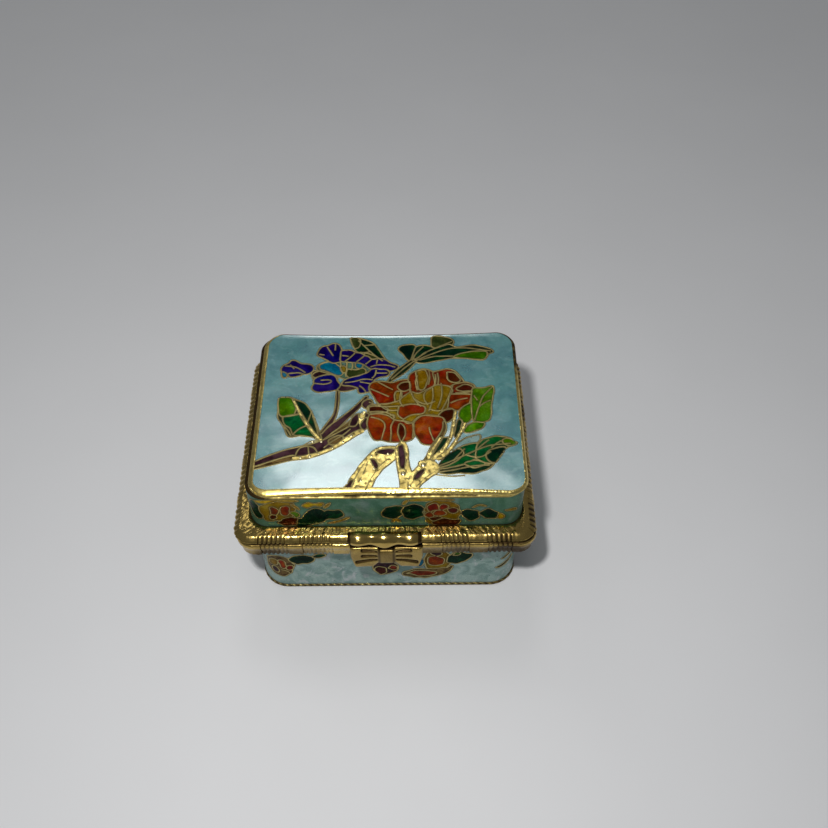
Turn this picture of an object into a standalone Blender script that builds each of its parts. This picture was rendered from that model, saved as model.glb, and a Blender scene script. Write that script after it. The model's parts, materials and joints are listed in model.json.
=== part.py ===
"""Small hinged trinket box in cloisonne enamel, with gilt brass rings and a bow clasp.

Metres, +Z up. The origin is on the table, under the middle of the whole box: X runs along
the front, and the clasp faces -Y. The body and the lid are hollow copper pressings with
enamel on both sides. A brass ring wraps the mouth of each, the two rings close face to face,
and a three-knuckle hinge joins them at the back.
"""
import math

import bmesh
import bpy
from mathutils import Vector

MM = 0.001

# Driving sizes
RING_WIDTH = 54.0 * MM          # both brass rings, left to right
RING_DEPTH = 45.2 * MM          # both brass rings, front to back
RING_CORNER = 3.4 * MM
BODY_WIDTH = 48.4 * MM
BODY_DEPTH = 39.5 * MM
BODY_CORNER = 5.0 * MM
DRUM_WIDTH = 48.8 * MM          # the lid's side wall
LID_WIDTH = 48.2 * MM           # the lid's top plate
LID_DEPTH = 39.1 * MM           # both of them, front to back
LID_CORNER = 3.6 * MM
LID_WAIST = 0.75 * MM           # how far the top's front and back edges bow inwards
HEIGHT = 29.4 * MM
SEAM_Z = 18.85 * MM             # where the two rings meet
WALL = 1.2 * MM                 # copper with enamel on both sides
GAP = 0.3 * MM                  # clearance between neighbouring pieces

# Hand fitting: how far each piece sits right of the middle
BODY_SHIFT = 0.15 * MM          # the body, its ring and the lid's side wall
LID_RING_SHIFT = -0.15 * MM
PLATE_SHIFT = 0.7 * MM          # the lid's top plate

# Levels of the rings and of the lid's border
BODY_RING_FOOT = 14.6 * MM
LEDGE_Z = 20.0 * MM             # the lid ring's ledge, where it meets the lid's wall
CREST_Z = 20.35 * MM            # its raised outer edge
CREST_INSET = 1.3 * MM          # from the ring's outer face to that edge
BORDER_FOOT_Z = 28.5 * MM       # under side of the gilt border round the lid's top

# Clasp
BOW_HALF_WIDTH = 6.5 * MM
BOW_KNOT_HALF_WIDTH = 1.2 * MM
BOW_FOOT_Z = 12.4 * MM
BOW_PROUD = 0.9 * MM            # thickness of the bow in front of its gap to the ring
UPPER_BOW_TOP_Z = 21.1 * MM
SIDE_SWELLING = 0.72            # where the bar's side swellings sit, as a share of its half width

# Hinge
KNUCKLE_RADIUS = 1.1 * MM
KNUCKLE_BORE = 0.7 * MM
PIN_RADIUS = 0.4 * MM
KNUCKLE_LENGTH = 4.0 * MM
LEAF_THICKNESS = 0.7 * MM
BODY_LEAF_DROP = 3.0 * MM       # how far the body's leaves reach below the seam
LID_LEAF_RISE = 1.0 * MM        # how far the lid's leaf reaches above it

# The clasp stands out in front and the hinge behind, so the rings sit off the origin.
CLASP_REACH = GAP + BOW_PROUD
HINGE_REACH = GAP + 2 * KNUCKLE_RADIUS
RING_Y = (CLASP_REACH - HINGE_REACH) / 2
FRONT_Y = RING_Y - RING_DEPTH / 2
BACK_Y = RING_Y + RING_DEPTH / 2
HINGE_Y = BACK_Y + GAP + KNUCKLE_RADIUS

CORNER_STEPS = 7
SIDE_STEPS = 8
QUARTER_STEPS = 4
FACE_STEPS = 8
HINGE_STEPS = 16

# Linear colours with their roughness and metallic values
TURQUOISE = ((0.22, 0.42, 0.43), 0.15, 0.0)
GILT = ((0.62, 0.42, 0.13), 0.3, 1.0)


def make_material(name, finish):
    """Give back a plain Principled material."""
    colour, roughness, metallic = finish
    material = bpy.data.materials.new(name)
    material.use_nodes = True
    shader = material.node_tree.nodes["Principled BSDF"]
    shader.inputs["Base Color"].default_value = (*colour, 1.0)
    shader.inputs["Roughness"].default_value = roughness
    shader.inputs["Metallic"].default_value = metallic
    return material


def make_object(name, bm, material, parent=None):
    """Turn a finished bmesh into a smooth-shaded object, faces out."""
    bmesh.ops.recalc_face_normals(bm, faces=bm.faces)
    mesh = bpy.data.meshes.new(name)
    bm.to_mesh(mesh)
    bm.free()
    mesh.materials.append(material)
    mesh.shade_smooth()
    mesh.set_sharp_from_angle(angle=math.radians(35))
    obj = bpy.data.objects.new(name, mesh)
    bpy.context.scene.collection.objects.link(obj)
    if parent is not None:
        obj.parent = parent
        obj.matrix_parent_inverse = parent.matrix_world.inverted()
    return obj


def rounded_rectangle(width, depth, corner, z, shift=0.0, waist=0.0):
    """Points of a rounded rectangle at height z; waist bows its front and back edges in."""
    half_x = width / 2
    half_y = depth / 2
    points = []
    for quarter in range(4):
        centre_x = (half_x - corner) * (1 if quarter in (0, 3) else -1)
        centre_y = (half_y - corner) * (1 if quarter in (0, 1) else -1)
        for step in range(CORNER_STEPS + 1):
            angle = math.radians(90 * (quarter + step / CORNER_STEPS))
            points.append((centre_x + corner * math.cos(angle), centre_y + corner * math.sin(angle)))
        if quarter in (0, 2):
            start = points[-1]
            run = -2 * centre_x
            for step in range(1, SIDE_STEPS):
                points.append((start[0] + run * step / SIDE_STEPS, start[1]))
    outline = []
    for x, y in points:
        bow = waist * (1 - (x / half_x) ** 2) * (y / half_y)
        outline.append(Vector((x + shift, RING_Y + y - bow, z)))
    return outline


def loft(loops, closed=False):
    """Skin a list of equal loops of points; closed joins the last to the first, else caps."""
    bm = bmesh.new()
    rows = [[bm.verts.new(point) for point in loop] for loop in loops]
    count = len(rows[0])
    pairs = list(zip(rows, rows[1:]))
    if closed:
        pairs.append((rows[-1], rows[0]))
    for low, high in pairs:
        for i in range(count):
            j = (i + 1) % count
            bm.faces.new((low[i], low[j], high[j], high[i]))
    if not closed:
        bm.faces.new(reversed(rows[0]))
        bm.faces.new(rows[-1])
    return bm


def body_loop(inset, z):
    """The body's outline, drawn in by inset."""
    width = BODY_WIDTH - 2 * inset
    return rounded_rectangle(width, BODY_DEPTH - 2 * inset, BODY_CORNER - inset, z, BODY_SHIFT)


def drum_loop(inset, z):
    """The outline of the lid's side wall, drawn in by inset."""
    width = DRUM_WIDTH - 2 * inset
    return rounded_rectangle(width, LID_DEPTH - 2 * inset, LID_CORNER - inset, z, BODY_SHIFT)


def plate_loop(inset, z):
    """The waisted outline of the lid's top plate, drawn in by inset."""
    width = LID_WIDTH - 2 * inset
    depth = LID_DEPTH - 2 * inset
    return rounded_rectangle(width, depth, LID_CORNER - inset, z, PLATE_SHIFT, LID_WAIST)


def ring_loop(inset, z, shift):
    """The brass rings' outline, drawn in by inset."""
    width = RING_WIDTH - 2 * inset
    return rounded_rectangle(width, RING_DEPTH - 2 * inset, RING_CORNER - inset, z, shift)


def build_body_shell(material):
    """Open-topped box with a flat floor and a softly rounded foot edge."""
    edge = 0.5 * MM
    mouth = SEAM_Z - GAP / 2
    loops = [
        body_loop(edge, 0.0),
        body_loop(0.3 * edge, 0.3 * edge),
        body_loop(0.0, edge),
        body_loop(0.0, mouth),
        body_loop(WALL, mouth),
        body_loop(WALL, WALL + edge),
        body_loop(WALL + edge, WALL),
    ]
    return make_object("body_shell", loft(loops), material)


def build_lid_shell(material, parent):
    """Lid, open below: a side wall under a slightly off-centre top plate with a waisted outline."""
    mouth = SEAM_Z + GAP / 2
    turn = 0.2 * MM
    loops = [
        drum_loop(WALL, HEIGHT - WALL),
        drum_loop(WALL, mouth),
        drum_loop(0.0, mouth),
        drum_loop(0.0, BORDER_FOOT_Z - turn),
        rounded_rectangle(LID_WIDTH, LID_DEPTH, LID_CORNER, BORDER_FOOT_Z, PLATE_SHIFT),
        plate_loop(0.0, HEIGHT - turn),
        plate_loop(turn, HEIGHT),
    ]
    return make_object("lid_shell", loft(loops), material, parent)


def build_body_bezel(material):
    """Brass ring round the body's mouth: a tall band that narrows and turns under at its foot."""
    top = SEAM_Z - GAP / 2
    soft = 0.35 * MM
    height = top - BODY_RING_FOOT
    section = [
        (soft, top),
        (0.0, top - soft),
        (0.1 * MM, top - 0.5 * height),
        (0.3 * MM, top - 0.8 * height),
        (0.9 * MM, BODY_RING_FOOT),
    ]
    loops = [ring_loop(inset, z, BODY_SHIFT) for inset, z in section]
    loops.append(body_loop(-GAP, BODY_RING_FOOT + soft))
    loops.append(body_loop(-GAP, top))
    return make_object("body_bezel", loft(loops, closed=True), material)


def build_lid_bezel(material, parent):
    """Brass ring round the lid's mouth: a quarter-round edge with a shallow ledge inside it."""
    foot = SEAM_Z + GAP / 2
    soft = 0.15 * MM
    shoulder = CREST_Z - foot - 2 * soft
    section = [(soft, foot), (0.0, foot + soft)]
    for step in range(QUARTER_STEPS + 1):
        angle = math.radians(90 * step / QUARTER_STEPS)
        inset = CREST_INSET * (1 - math.cos(angle))
        section.append((inset, foot + 2 * soft + shoulder * math.sin(angle)))
    loops = [ring_loop(inset, z, LID_RING_SHIFT) for inset, z in section]
    loops.append(drum_loop(-GAP, LEDGE_Z))
    loops.append(drum_loop(-GAP, foot))
    return make_object("lid_bezel", loft(loops, closed=True), material, parent)


def bow_stations():
    """Places along the bow, closer together at its knot and its tips."""
    wing = BOW_HALF_WIDTH - BOW_KNOT_HALF_WIDTH
    right = [0.0, 0.6 * BOW_KNOT_HALF_WIDTH, BOW_KNOT_HALF_WIDTH]
    for share in (0.06, 0.2, 0.36, 0.52, 0.68, 0.82, 0.92, 0.98, 1.0):
        right.append(BOW_KNOT_HALF_WIDTH + wing * share)
    return [-x for x in reversed(right[1:])] + right


def build_clasp_lower(material):
    """Lower half of the bow: two flared tails that hang from the knot, in front of the ring."""
    back = FRONT_Y - GAP
    top = SEAM_Z - GAP / 2
    loops = []
    for x in bow_stations():
        reach = abs(x) / BOW_HALF_WIDTH
        in_knot = abs(x) <= BOW_KNOT_HALF_WIDTH
        tip = math.sqrt(max(0.0, 1 - reach ** 8))
        swell = 0.95 if in_knot else 0.55 + 0.4 * math.sin(math.pi * reach)
        proud = BOW_PROUD * swell * (0.35 + 0.65 * tip)
        high = top - (0.6 * MM if in_knot else 0.9 * MM * (1 - reach))
        wing = (abs(x) - BOW_KNOT_HALF_WIDTH) / (BOW_HALF_WIDTH - BOW_KNOT_HALF_WIDTH)
        low = BOW_FOOT_Z + (1.6 * MM if in_knot else 1.2 * MM * max(0.0, 1 - wing / 0.35) ** 2)
        half = (high - low) / 2 * (0.78 + 0.22 * tip)
        middle = (high + low) / 2
        loop = []
        for step in range(FACE_STEPS + 1):
            angle = math.radians(180 * step / FACE_STEPS - 90)
            y = back - proud * math.cos(angle) ** 0.45
            loop.append(Vector((x + BODY_SHIFT, y, middle + half * math.sin(angle))))
        loops.append(loop)
    return make_object("clasp_lower", loft(loops), material)


def build_clasp_upper(material, parent):
    """Upper half of the bow: a bar with three swellings, which lies over the ring's edge."""
    foot = SEAM_Z + GAP / 2 + 0.35 * MM
    crest_y = FRONT_Y + CREST_INSET
    loops = []
    for x in bow_stations():
        reach = abs(x) / BOW_HALF_WIDTH
        tip = math.sqrt(max(0.0, 1 - reach ** 6))
        swell = 0.78 + 0.22 * math.cos(math.pi * reach / SIDE_SWELLING) ** 2
        fullness = swell * (0.45 + 0.55 * tip)
        front = FRONT_Y - GAP - (BOW_PROUD - 0.25 * MM) * fullness
        top = CREST_Z + GAP + (UPPER_BOW_TOP_Z - CREST_Z - GAP) * fullness
        section = [
            (FRONT_Y - GAP, foot),
            (front, foot + 0.15 * MM),
            (front, foot + 0.6 * MM),
            (front + 0.4 * MM, top - 0.35 * MM),
            (FRONT_Y + 0.35 * MM, top),
            (crest_y - 0.15 * MM, top - 0.1 * MM),
            (crest_y, CREST_Z + GAP),
            (FRONT_Y + 0.55 * MM, CREST_Z + 0.85 * GAP),
            (FRONT_Y - 0.5 * GAP, CREST_Z - 0.1 * MM),
        ]
        loops.append([Vector((x + LID_RING_SHIFT, y, z)) for y, z in section])
    return make_object("clasp_upper", loft(loops), material, parent)


def circle_loop(x, radius, steps):
    """Points of a circle round the hinge's axis, at x along it."""
    loop = []
    for step in range(steps):
        angle = 2 * math.pi * step / steps
        loop.append(Vector((x, HINGE_Y + radius * math.cos(angle), SEAM_Z + radius * math.sin(angle))))
    return loop


def knuckle_outline(x, leaf_end_z):
    """End view of a barrel whose flat leaf runs up or down the back of its ring."""
    side = 1 if leaf_end_z > SEAM_Z else -1
    leaf_inner = HINGE_Y - KNUCKLE_RADIUS
    leaf_outer = leaf_inner + LEAF_THICKNESS
    sweep = math.pi + math.acos((leaf_outer - HINGE_Y) / KNUCKLE_RADIUS)
    loop = []
    for step in range(HINGE_STEPS + 1):
        angle = side * (sweep * step / HINGE_STEPS - math.pi)
        y = HINGE_Y + KNUCKLE_RADIUS * math.cos(angle)
        loop.append(Vector((x, y, SEAM_Z + KNUCKLE_RADIUS * math.sin(angle))))
    loop.append(Vector((x, leaf_outer, leaf_end_z)))
    loop.append(Vector((x, leaf_inner, leaf_end_z)))
    return loop


def build_knuckle(name, centre_x, leaf_end_z, material, parent=None):
    """One hinge barrel with its bore and its leaf."""
    bm = bmesh.new()
    ends = []
    for x in (centre_x - KNUCKLE_LENGTH / 2, centre_x + KNUCKLE_LENGTH / 2):
        outlines = (knuckle_outline(x, leaf_end_z), circle_loop(x, KNUCKLE_BORE, HINGE_STEPS))
        rows = [[bm.verts.new(point) for point in outline] for outline in outlines]
        edges = []
        for row in rows:
            for i, vert in enumerate(row):
                edges.append(bm.edges.new((vert, row[(i + 1) % len(row)])))
        bmesh.ops.triangle_fill(bm, use_beauty=True, edges=edges)
        ends.append(rows)
    for near, far in zip(*ends):
        for i in range(len(near)):
            j = (i + 1) % len(near)
            bm.faces.new((near[i], near[j], far[j], far[i]))
    return make_object(name, bm, material, parent)


def build_pin(material):
    """Hinge pin, as long as the three knuckles together."""
    half = 1.5 * KNUCKLE_LENGTH + GAP
    loops = [circle_loop(x, PIN_RADIUS, HINGE_STEPS) for x in (-half, half)]
    return make_object("hinge_pin", loft(loops), material)


def main():
    for obj in list(bpy.data.objects):
        bpy.data.objects.remove(obj)
    enamel = make_material("turquoise_enamel", TURQUOISE)
    gilt = make_material("gilt_brass", GILT)

    lid_axis = bpy.data.objects.new("lid_axis", None)
    lid_axis.location = (0.0, HINGE_Y, SEAM_Z)
    bpy.context.scene.collection.objects.link(lid_axis)
    bpy.context.view_layer.update()

    build_body_shell(enamel)
    build_body_bezel(gilt)
    build_clasp_lower(gilt)
    build_lid_shell(enamel, lid_axis)
    build_lid_bezel(gilt, lid_axis)
    build_clasp_upper(gilt, lid_axis)
    pitch = KNUCKLE_LENGTH + GAP
    build_knuckle("hinge_knuckle_left", -pitch, SEAM_Z - BODY_LEAF_DROP, gilt)
    build_knuckle("hinge_knuckle_right", pitch, SEAM_Z - BODY_LEAF_DROP, gilt)
    build_knuckle("hinge_knuckle_lid", 0.0, SEAM_Z + LID_LEAF_RISE, gilt, lid_axis)
    build_pin(gilt)


main()
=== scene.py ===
# %% [markdown]
# # A small hinged box in cloisonne enamel
# Cloisonne is made by bending thin flat wire into little fences, soldering them on a copper box, filling
# the cells with powdered glass and firing it. So this lesson follows the craft: draw the wires, cut the
# surface into cells along them, fill each cell with its own enamel, and add the gilt brass fittings.
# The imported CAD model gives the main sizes. It is loaded first and stays where it is.

import json
import math

import bpy
import numpy as np
from mathutils import Matrix, Vector, geometry, kdtree, noise

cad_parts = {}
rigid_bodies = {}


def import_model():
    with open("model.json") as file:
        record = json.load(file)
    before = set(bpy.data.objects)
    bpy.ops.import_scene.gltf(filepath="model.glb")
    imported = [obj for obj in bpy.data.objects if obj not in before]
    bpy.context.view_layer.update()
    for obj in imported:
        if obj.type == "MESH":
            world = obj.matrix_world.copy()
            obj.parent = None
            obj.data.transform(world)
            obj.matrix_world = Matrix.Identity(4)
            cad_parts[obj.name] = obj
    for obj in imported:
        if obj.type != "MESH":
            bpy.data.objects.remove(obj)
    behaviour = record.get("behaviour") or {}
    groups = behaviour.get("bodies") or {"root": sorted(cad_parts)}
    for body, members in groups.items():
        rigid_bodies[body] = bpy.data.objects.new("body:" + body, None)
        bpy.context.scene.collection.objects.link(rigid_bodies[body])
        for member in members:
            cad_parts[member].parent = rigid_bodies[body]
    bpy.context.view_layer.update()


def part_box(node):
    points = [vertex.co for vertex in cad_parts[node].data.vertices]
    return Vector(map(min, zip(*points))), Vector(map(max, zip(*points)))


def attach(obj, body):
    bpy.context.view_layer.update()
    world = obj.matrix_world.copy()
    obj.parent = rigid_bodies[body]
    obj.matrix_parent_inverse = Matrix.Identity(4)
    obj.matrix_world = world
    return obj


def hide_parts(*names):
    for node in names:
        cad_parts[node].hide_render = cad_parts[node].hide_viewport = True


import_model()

# %% [markdown]
# ## Measure the box
# All drawing below is in millimetres, because a jeweller's box is easier to think about that way. The
# boxes of the CAD nodes say where each piece is. Only what a box cannot tell is written as a number:
# corner radii, wall thickness and how far the lid's top is waisted.

# %% Sizes in millimetres
MM = 0.001


def span(node):
    """Lowest and highest corner of a CAD node, in millimetres."""
    low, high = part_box(node)
    return np.array(low) / MM, np.array(high) / MM


body_low, body_high = span("body_shell")
lid_low, lid_high = span("lid_shell")
ring_low, ring_high = span("body_bezel")
lid_ring_low, lid_ring_high = span("lid_bezel")
bow_low, bow_high = span("clasp_lower")
bar_low, bar_high = span("clasp_upper")

WALL = 1.2
BODY_CORNER = 5.0
LID_CORNER = 3.6
RING_CORNER = 3.4
LID_WAIST = 0.75
PLATE_WIDTH = 48.2

top_z = lid_high[2]
seam_z = (body_high[2] + lid_low[2]) / 2
middle_y = (body_low[1] + body_high[1]) / 2
body_x = (body_low[0] + body_high[0]) / 2
body_size = (body_high[0] - body_low[0], body_high[1] - body_low[1])
drum_size = (2 * (body_x - lid_low[0]), lid_high[1] - lid_low[1])
plate_x = lid_high[0] - PLATE_WIDTH / 2
print("seam at", round(seam_z, 2), "top at", round(top_z, 2), "drum", np.round(drum_size, 2))

# %% [markdown]
# ## Outlines
# Every piece of this box follows a rounded rectangle. One function gives its points, so that two loops
# of the same kind always match point for point and can be skinned together. A second one walks along
# such a loop by length, which is what a pattern on the wall needs: it is drawn flat, like a paper
# strip, and then wrapped round.

# %% Rounded rectangles
CORNER_STEPS = 14
SIDE_STEPS = 40


def rounded_loop(size, corner, centre_x, inset=0.0, waist=0.0):
    """Points (x, y) of a rounded rectangle, counter-clockwise; waist draws front and back in."""
    half_x = size[0] / 2 - inset
    half_y = size[1] / 2 - inset
    radius = corner - inset
    loop = []
    for quarter in range(4):
        turn_x = (half_x - radius) * (1 if quarter in (0, 3) else -1)
        turn_y = (half_y - radius) * (1 if quarter in (0, 1) else -1)
        for step in range(CORNER_STEPS + 1):
            angle = math.radians(90 * (quarter + step / CORNER_STEPS))
            loop.append((turn_x + radius * math.cos(angle), turn_y + radius * math.sin(angle)))
        x, y = loop[-1]
        goal_x, goal_y = (x, -turn_y) if quarter in (1, 3) else (-turn_x, y)
        for step in range(1, SIDE_STEPS):
            share = step / SIDE_STEPS
            loop.append((x + (goal_x - x) * share, y + (goal_y - y) * share))
    loop = np.array(loop)
    bow = waist * (1 - (loop[:, 0] / half_x) ** 2) * (loop[:, 1] / half_y)
    return np.stack([loop[:, 0] + centre_x, middle_y + loop[:, 1] - bow], 1)


print("points in a loop:", len(rounded_loop(body_size, BODY_CORNER, body_x)))


# %% Normals and lengths along a line
def outward(loop):
    """Unit normals of a closed loop, which point out of it where it runs counter-clockwise."""
    tangent = np.roll(loop, -1, 0) - np.roll(loop, 1, 0)
    tangent /= np.maximum(np.linalg.norm(tangent, axis=1), 1e-9)[:, None]
    return np.stack([tangent[:, 1], -tangent[:, 0]], 1)


def lengths(path):
    """Length along a path up to each of its points."""
    return np.concatenate([[0], np.cumsum(np.linalg.norm(np.diff(path, axis=0), axis=1))])


def between(spots, known, columns):
    """Values between known ones, for each column of an array."""
    return np.stack([np.interp(spots, known, column) for column in columns.T], 1)


# %% Walks round a loop
def walk(loop):
    """Length along a loop from the middle of its front, its points there, and its outward normals."""
    far_from_middle = np.abs(loop[:, 0] - loop[:, 0].mean())
    not_in_front = loop[:, 1] > loop[:, 1].min() + 2
    front = int(np.argmin(far_from_middle + 1000 * not_in_front))
    ordered = np.roll(loop, -front, axis=0)
    closed = np.vstack([ordered, ordered[:1]])
    normal = outward(ordered)
    return lengths(closed), closed, np.vstack([normal, normal[:1]])


def evenly(loop, count):
    """A number of evenly spaced points round a loop, with their normals and their lengths along it."""
    length, points, normals = walk(loop)
    spots = np.linspace(0, length[-1], count, endpoint=False)
    return between(spots, length, points), between(spots, length, normals), spots


print("once round the body:", round(walk(rounded_loop(body_size, BODY_CORNER, body_x))[0][-1], 1), "mm")


# %% Wrap a flat drawing round a wall
def wrap(loop, inset_at):
    """A function that carries a flat drawing (along, up, out of the surface) round a wall."""
    length, points, normals = walk(loop)
    total = length[-1]

    def place(u, v, h):
        """Places on the wall for points of the drawing."""
        along = np.mod(u, total)
        out = h - inset_at(v)
        flat = between(along, length, points) + between(along, length, normals) * out[:, None]
        return np.column_stack([flat, v])

    return place, total


# %% [markdown]
# ## Pieces
# Each piece is one closed mesh that rides on the body or on the lid. A small helper turns points in
# millimetres into an object, gives it a material, and hides the CAD node it stands in for. Numbers that
# the materials need, such as how near a wire is, are stored on the points as named attributes.

# %% From points to a piece
made = {}


def add_piece(name, points, faces, material, body, replaces=(), values=None, sharp=40):
    """Make one piece of the box from points in millimetres."""
    mesh = bpy.data.meshes.new(name)
    mesh.from_pydata((np.asarray(points) * MM).tolist(), [], faces)
    for key, numbers in (values or {}).items():
        attribute = mesh.attributes.new(key, "FLOAT", "POINT")
        attribute.data.foreach_set("value", np.asarray(numbers, np.float32))
    mesh.materials.append(material)
    mesh.validate()
    mesh.shade_smooth()
    mesh.set_sharp_from_angle(angle=math.radians(sharp))
    piece = bpy.data.objects.new(name, mesh)
    bpy.context.scene.collection.objects.link(piece)
    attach(piece, body)
    if replaces:
        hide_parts(*replaces)
    made[name] = sum(len(face) - 2 for face in faces)
    print(name, "triangles:", made[name])


# %% Skins over loops
def skin(loops, closed=False):
    """Skin equal loops of (x, y, z) points; closed joins the last to the first, else both are capped."""
    rows = len(loops)
    count = len(loops[0])
    points = np.vstack(loops)
    faces = []
    for row in range(rows if closed else rows - 1):
        low = row * count
        high = (row + 1) % rows * count
        for i in range(count):
            j = (i + 1) % count
            faces.append((low + i, low + j, high + j, high + i))
    if not closed:
        faces.append(tuple(reversed(range(count))))
        faces.append(tuple(range((rows - 1) * count, rows * count)))
    return points, faces


def join(skins):
    """Several skins as one: all their points, and their faces numbered to suit."""
    points = []
    faces = []
    first = 0
    for block, around in skins:
        faces += [tuple(first + i for i in face) for face in around]
        points.append(block)
        first += len(block)
    return np.vstack(points), faces


def turned(faces):
    """The same faces, seen from their other side."""
    return [tuple(reversed(face)) for face in faces]


def at_height(loop, z):
    """A flat loop lifted to height z, which may differ from point to point."""
    return np.column_stack([loop, np.broadcast_to(z, len(loop))])


# %% [markdown]
# ## Enamel
# Enamel is coloured glass over bright metal. Light comes back from the metal through the glass, so a
# little Metallic under a clear coat looks right. Kiln-fired glass is never even: it has clouds, pale
# streaks, dark specks, and a brown rim where it met the hot wire. One node group makes all of that, and
# every colour of enamel uses it with its own values. The wire's distance comes from the mesh.

# %% Groups and their sockets
FLOAT = "NodeSocketFloat"
COLOR = "NodeSocketColor"


def new_group(name, inputs, outputs):
    """A shader node group with named sockets, and its input and output nodes."""
    group = bpy.data.node_groups.new(name, "ShaderNodeTree")
    for label, kind, value in inputs:
        socket = group.interface.new_socket(label, in_out="INPUT", socket_type=kind)
        socket.default_value = value
    for label, kind in outputs:
        group.interface.new_socket(label, in_out="OUTPUT", socket_type=kind)
    return group, group.nodes.new("NodeGroupInput"), group.nodes.new("NodeGroupOutput")


def feed(tree, socket, value):
    """Give a socket a number or a colour, or link it to another socket."""
    if isinstance(value, (int, float)):
        socket.default_value = value
    elif isinstance(value, tuple):
        socket.default_value = (*value, 1.0)
    else:
        tree.links.new(value, socket)


# %% Nodes that are used again and again
def add_noise(tree, vector, scale, detail=3.0, roughness=0.55, distortion=0.0):
    """A noise texture read at the given vector; the scale is in features per millimetre."""
    node = tree.nodes.new("ShaderNodeTexNoise")
    for label, value in (("Vector", vector), ("Scale", scale), ("Detail", detail), ("Roughness", roughness),
                         ("Distortion", distortion)):
        feed(tree, node.inputs[label], value)
    return node.outputs["Fac"]


def add_range(tree, value, low, high, to_low=0.0, to_high=1.0):
    """Map a value from one range to another, smoothly and clamped."""
    node = tree.nodes.new("ShaderNodeMapRange")
    node.interpolation_type = "SMOOTHSTEP"
    for label, number in (("From Min", low), ("From Max", high), ("To Min", to_low), ("To Max", to_high)):
        node.inputs[label].default_value = number
    tree.links.new(value, node.inputs["Value"])
    return node.outputs["Result"]


def add_math(tree, operation, a, b):
    """One math node; a and b are sockets or numbers."""
    node = tree.nodes.new("ShaderNodeMath")
    node.operation = operation
    for socket, value in zip(node.inputs, (a, b)):
        feed(tree, socket, value)
    return node.outputs["Value"]


def add_mix(tree, factor, a, b):
    """Mix two colours, given as sockets or tuples."""
    node = tree.nodes.new("ShaderNodeMix")
    node.data_type = "RGBA"
    for label, value in (("Factor", factor), ("A", a), ("B", b)):
        feed(tree, next(s for s in node.inputs if s.name == label and s.enabled), value)
    return next(s for s in node.outputs if s.enabled)


# %% Places and stored numbers
def add_millimetres(tree, stretch=(1.0, 1.0, 1.0), turn=0.0):
    """Object coordinates in millimetres, turned about Z and stretched."""
    place = tree.nodes.new("ShaderNodeTexCoord")
    mapping = tree.nodes.new("ShaderNodeMapping")
    mapping.inputs["Scale"].default_value = [s / MM for s in stretch]
    mapping.inputs["Rotation"].default_value = (0.0, 0.0, math.radians(turn))
    tree.links.new(place.outputs["Object"], mapping.inputs["Vector"])
    return mapping.outputs["Vector"]


def add_attribute(tree, name):
    """A number stored on the mesh's points."""
    node = tree.nodes.new("ShaderNodeAttribute")
    node.attribute_name = name
    return node.outputs["Fac"]


# %% Materials with a group in them
def new_material(name):
    """A material with nodes, its tree and its Principled BSDF."""
    material = bpy.data.materials.new(name)
    material.use_nodes = True
    return material, material.node_tree, material.node_tree.nodes["Principled BSDF"]


def place_group(tree, shader, group, values, bump, depth):
    """Put a finish group in a material: it feeds colour, roughness and, through a bump, the normal."""
    node = tree.nodes.new("ShaderNodeGroup")
    node.node_tree = group
    for label, value in values.items():
        feed(tree, node.inputs[label], value)
    relief = tree.nodes.new("ShaderNodeBump")
    relief.inputs["Strength"].default_value = bump
    relief.inputs["Distance"].default_value = depth * MM
    tree.links.new(node.outputs["Height"], relief.inputs["Height"])
    tree.links.new(relief.outputs["Normal"], shader.inputs["Normal"])
    tree.links.new(node.outputs["Color"], shader.inputs["Base Color"])
    tree.links.new(node.outputs["Roughness"], shader.inputs["Roughness"])


# %% The fired-glass group
glass_group, given, result = new_group(
    "Fired Glass",
    [
        ("Glass", COLOR, (0.3, 0.5, 0.5, 1.0)),
        ("Deep", COLOR, (0.1, 0.3, 0.3, 1.0)),
        ("Bloom", COLOR, (0.7, 0.8, 0.8, 1.0)),
        ("Cloud Scale", FLOAT, 0.3),
        ("Bloom Amount", FLOAT, 0.3),
        ("Speck Amount", FLOAT, 0.5),
        ("Rim Amount", FLOAT, 0.8),
    ],
    [("Color", COLOR), ("Roughness", FLOAT), ("Height", FLOAT)],
)
tree = glass_group
mm = add_millimetres(tree)
cloud_noise = add_noise(tree, mm, given.outputs["Cloud Scale"], 4.0, 0.5, 0.8)
cloud = add_range(tree, cloud_noise, 0.38, 0.64)
streak = add_noise(tree, add_millimetres(tree, (0.7, 1.0, 0.6), 24), 0.45, 3.0, 0.6, 1.0)
bloom = add_math(tree, "MULTIPLY", add_range(tree, streak, 0.5, 0.72), given.outputs["Bloom Amount"])
speck_noise = add_noise(tree, mm, 2.2, 2.0, 0.5)
speck = add_math(tree, "MULTIPLY", add_range(tree, speck_noise, 0.66, 0.74), given.outputs["Speck Amount"])
rim = add_range(tree, add_attribute(tree, "wire_gap"), 0.3, 0.05)
rim = add_math(tree, "MULTIPLY", rim, given.outputs["Rim Amount"])
shade = add_mix(tree, cloud, given.outputs["Glass"], given.outputs["Deep"])
shade = add_mix(tree, bloom, shade, given.outputs["Bloom"])
drift = tree.nodes.new("ShaderNodeHueSaturation")
hue_noise = add_noise(tree, add_millimetres(tree, (0.6, 1.0, 0.6), -30), 0.27, 2.0, 0.5, 0.8)
tree.links.new(add_range(tree, hue_noise, 0.3, 0.7, 0.497, 0.516), drift.inputs["Hue"])
tree.links.new(add_range(tree, cloud_noise, 0.3, 0.7, 0.96, 1.12), drift.inputs["Saturation"])
tree.links.new(shade, drift.inputs["Color"])
shade = add_mix(tree, speck, drift.outputs["Color"], (0.02, 0.04, 0.035))
shade = add_mix(tree, rim, shade, (0.05, 0.038, 0.016))
tree.links.new(shade, result.inputs["Color"])
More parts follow.
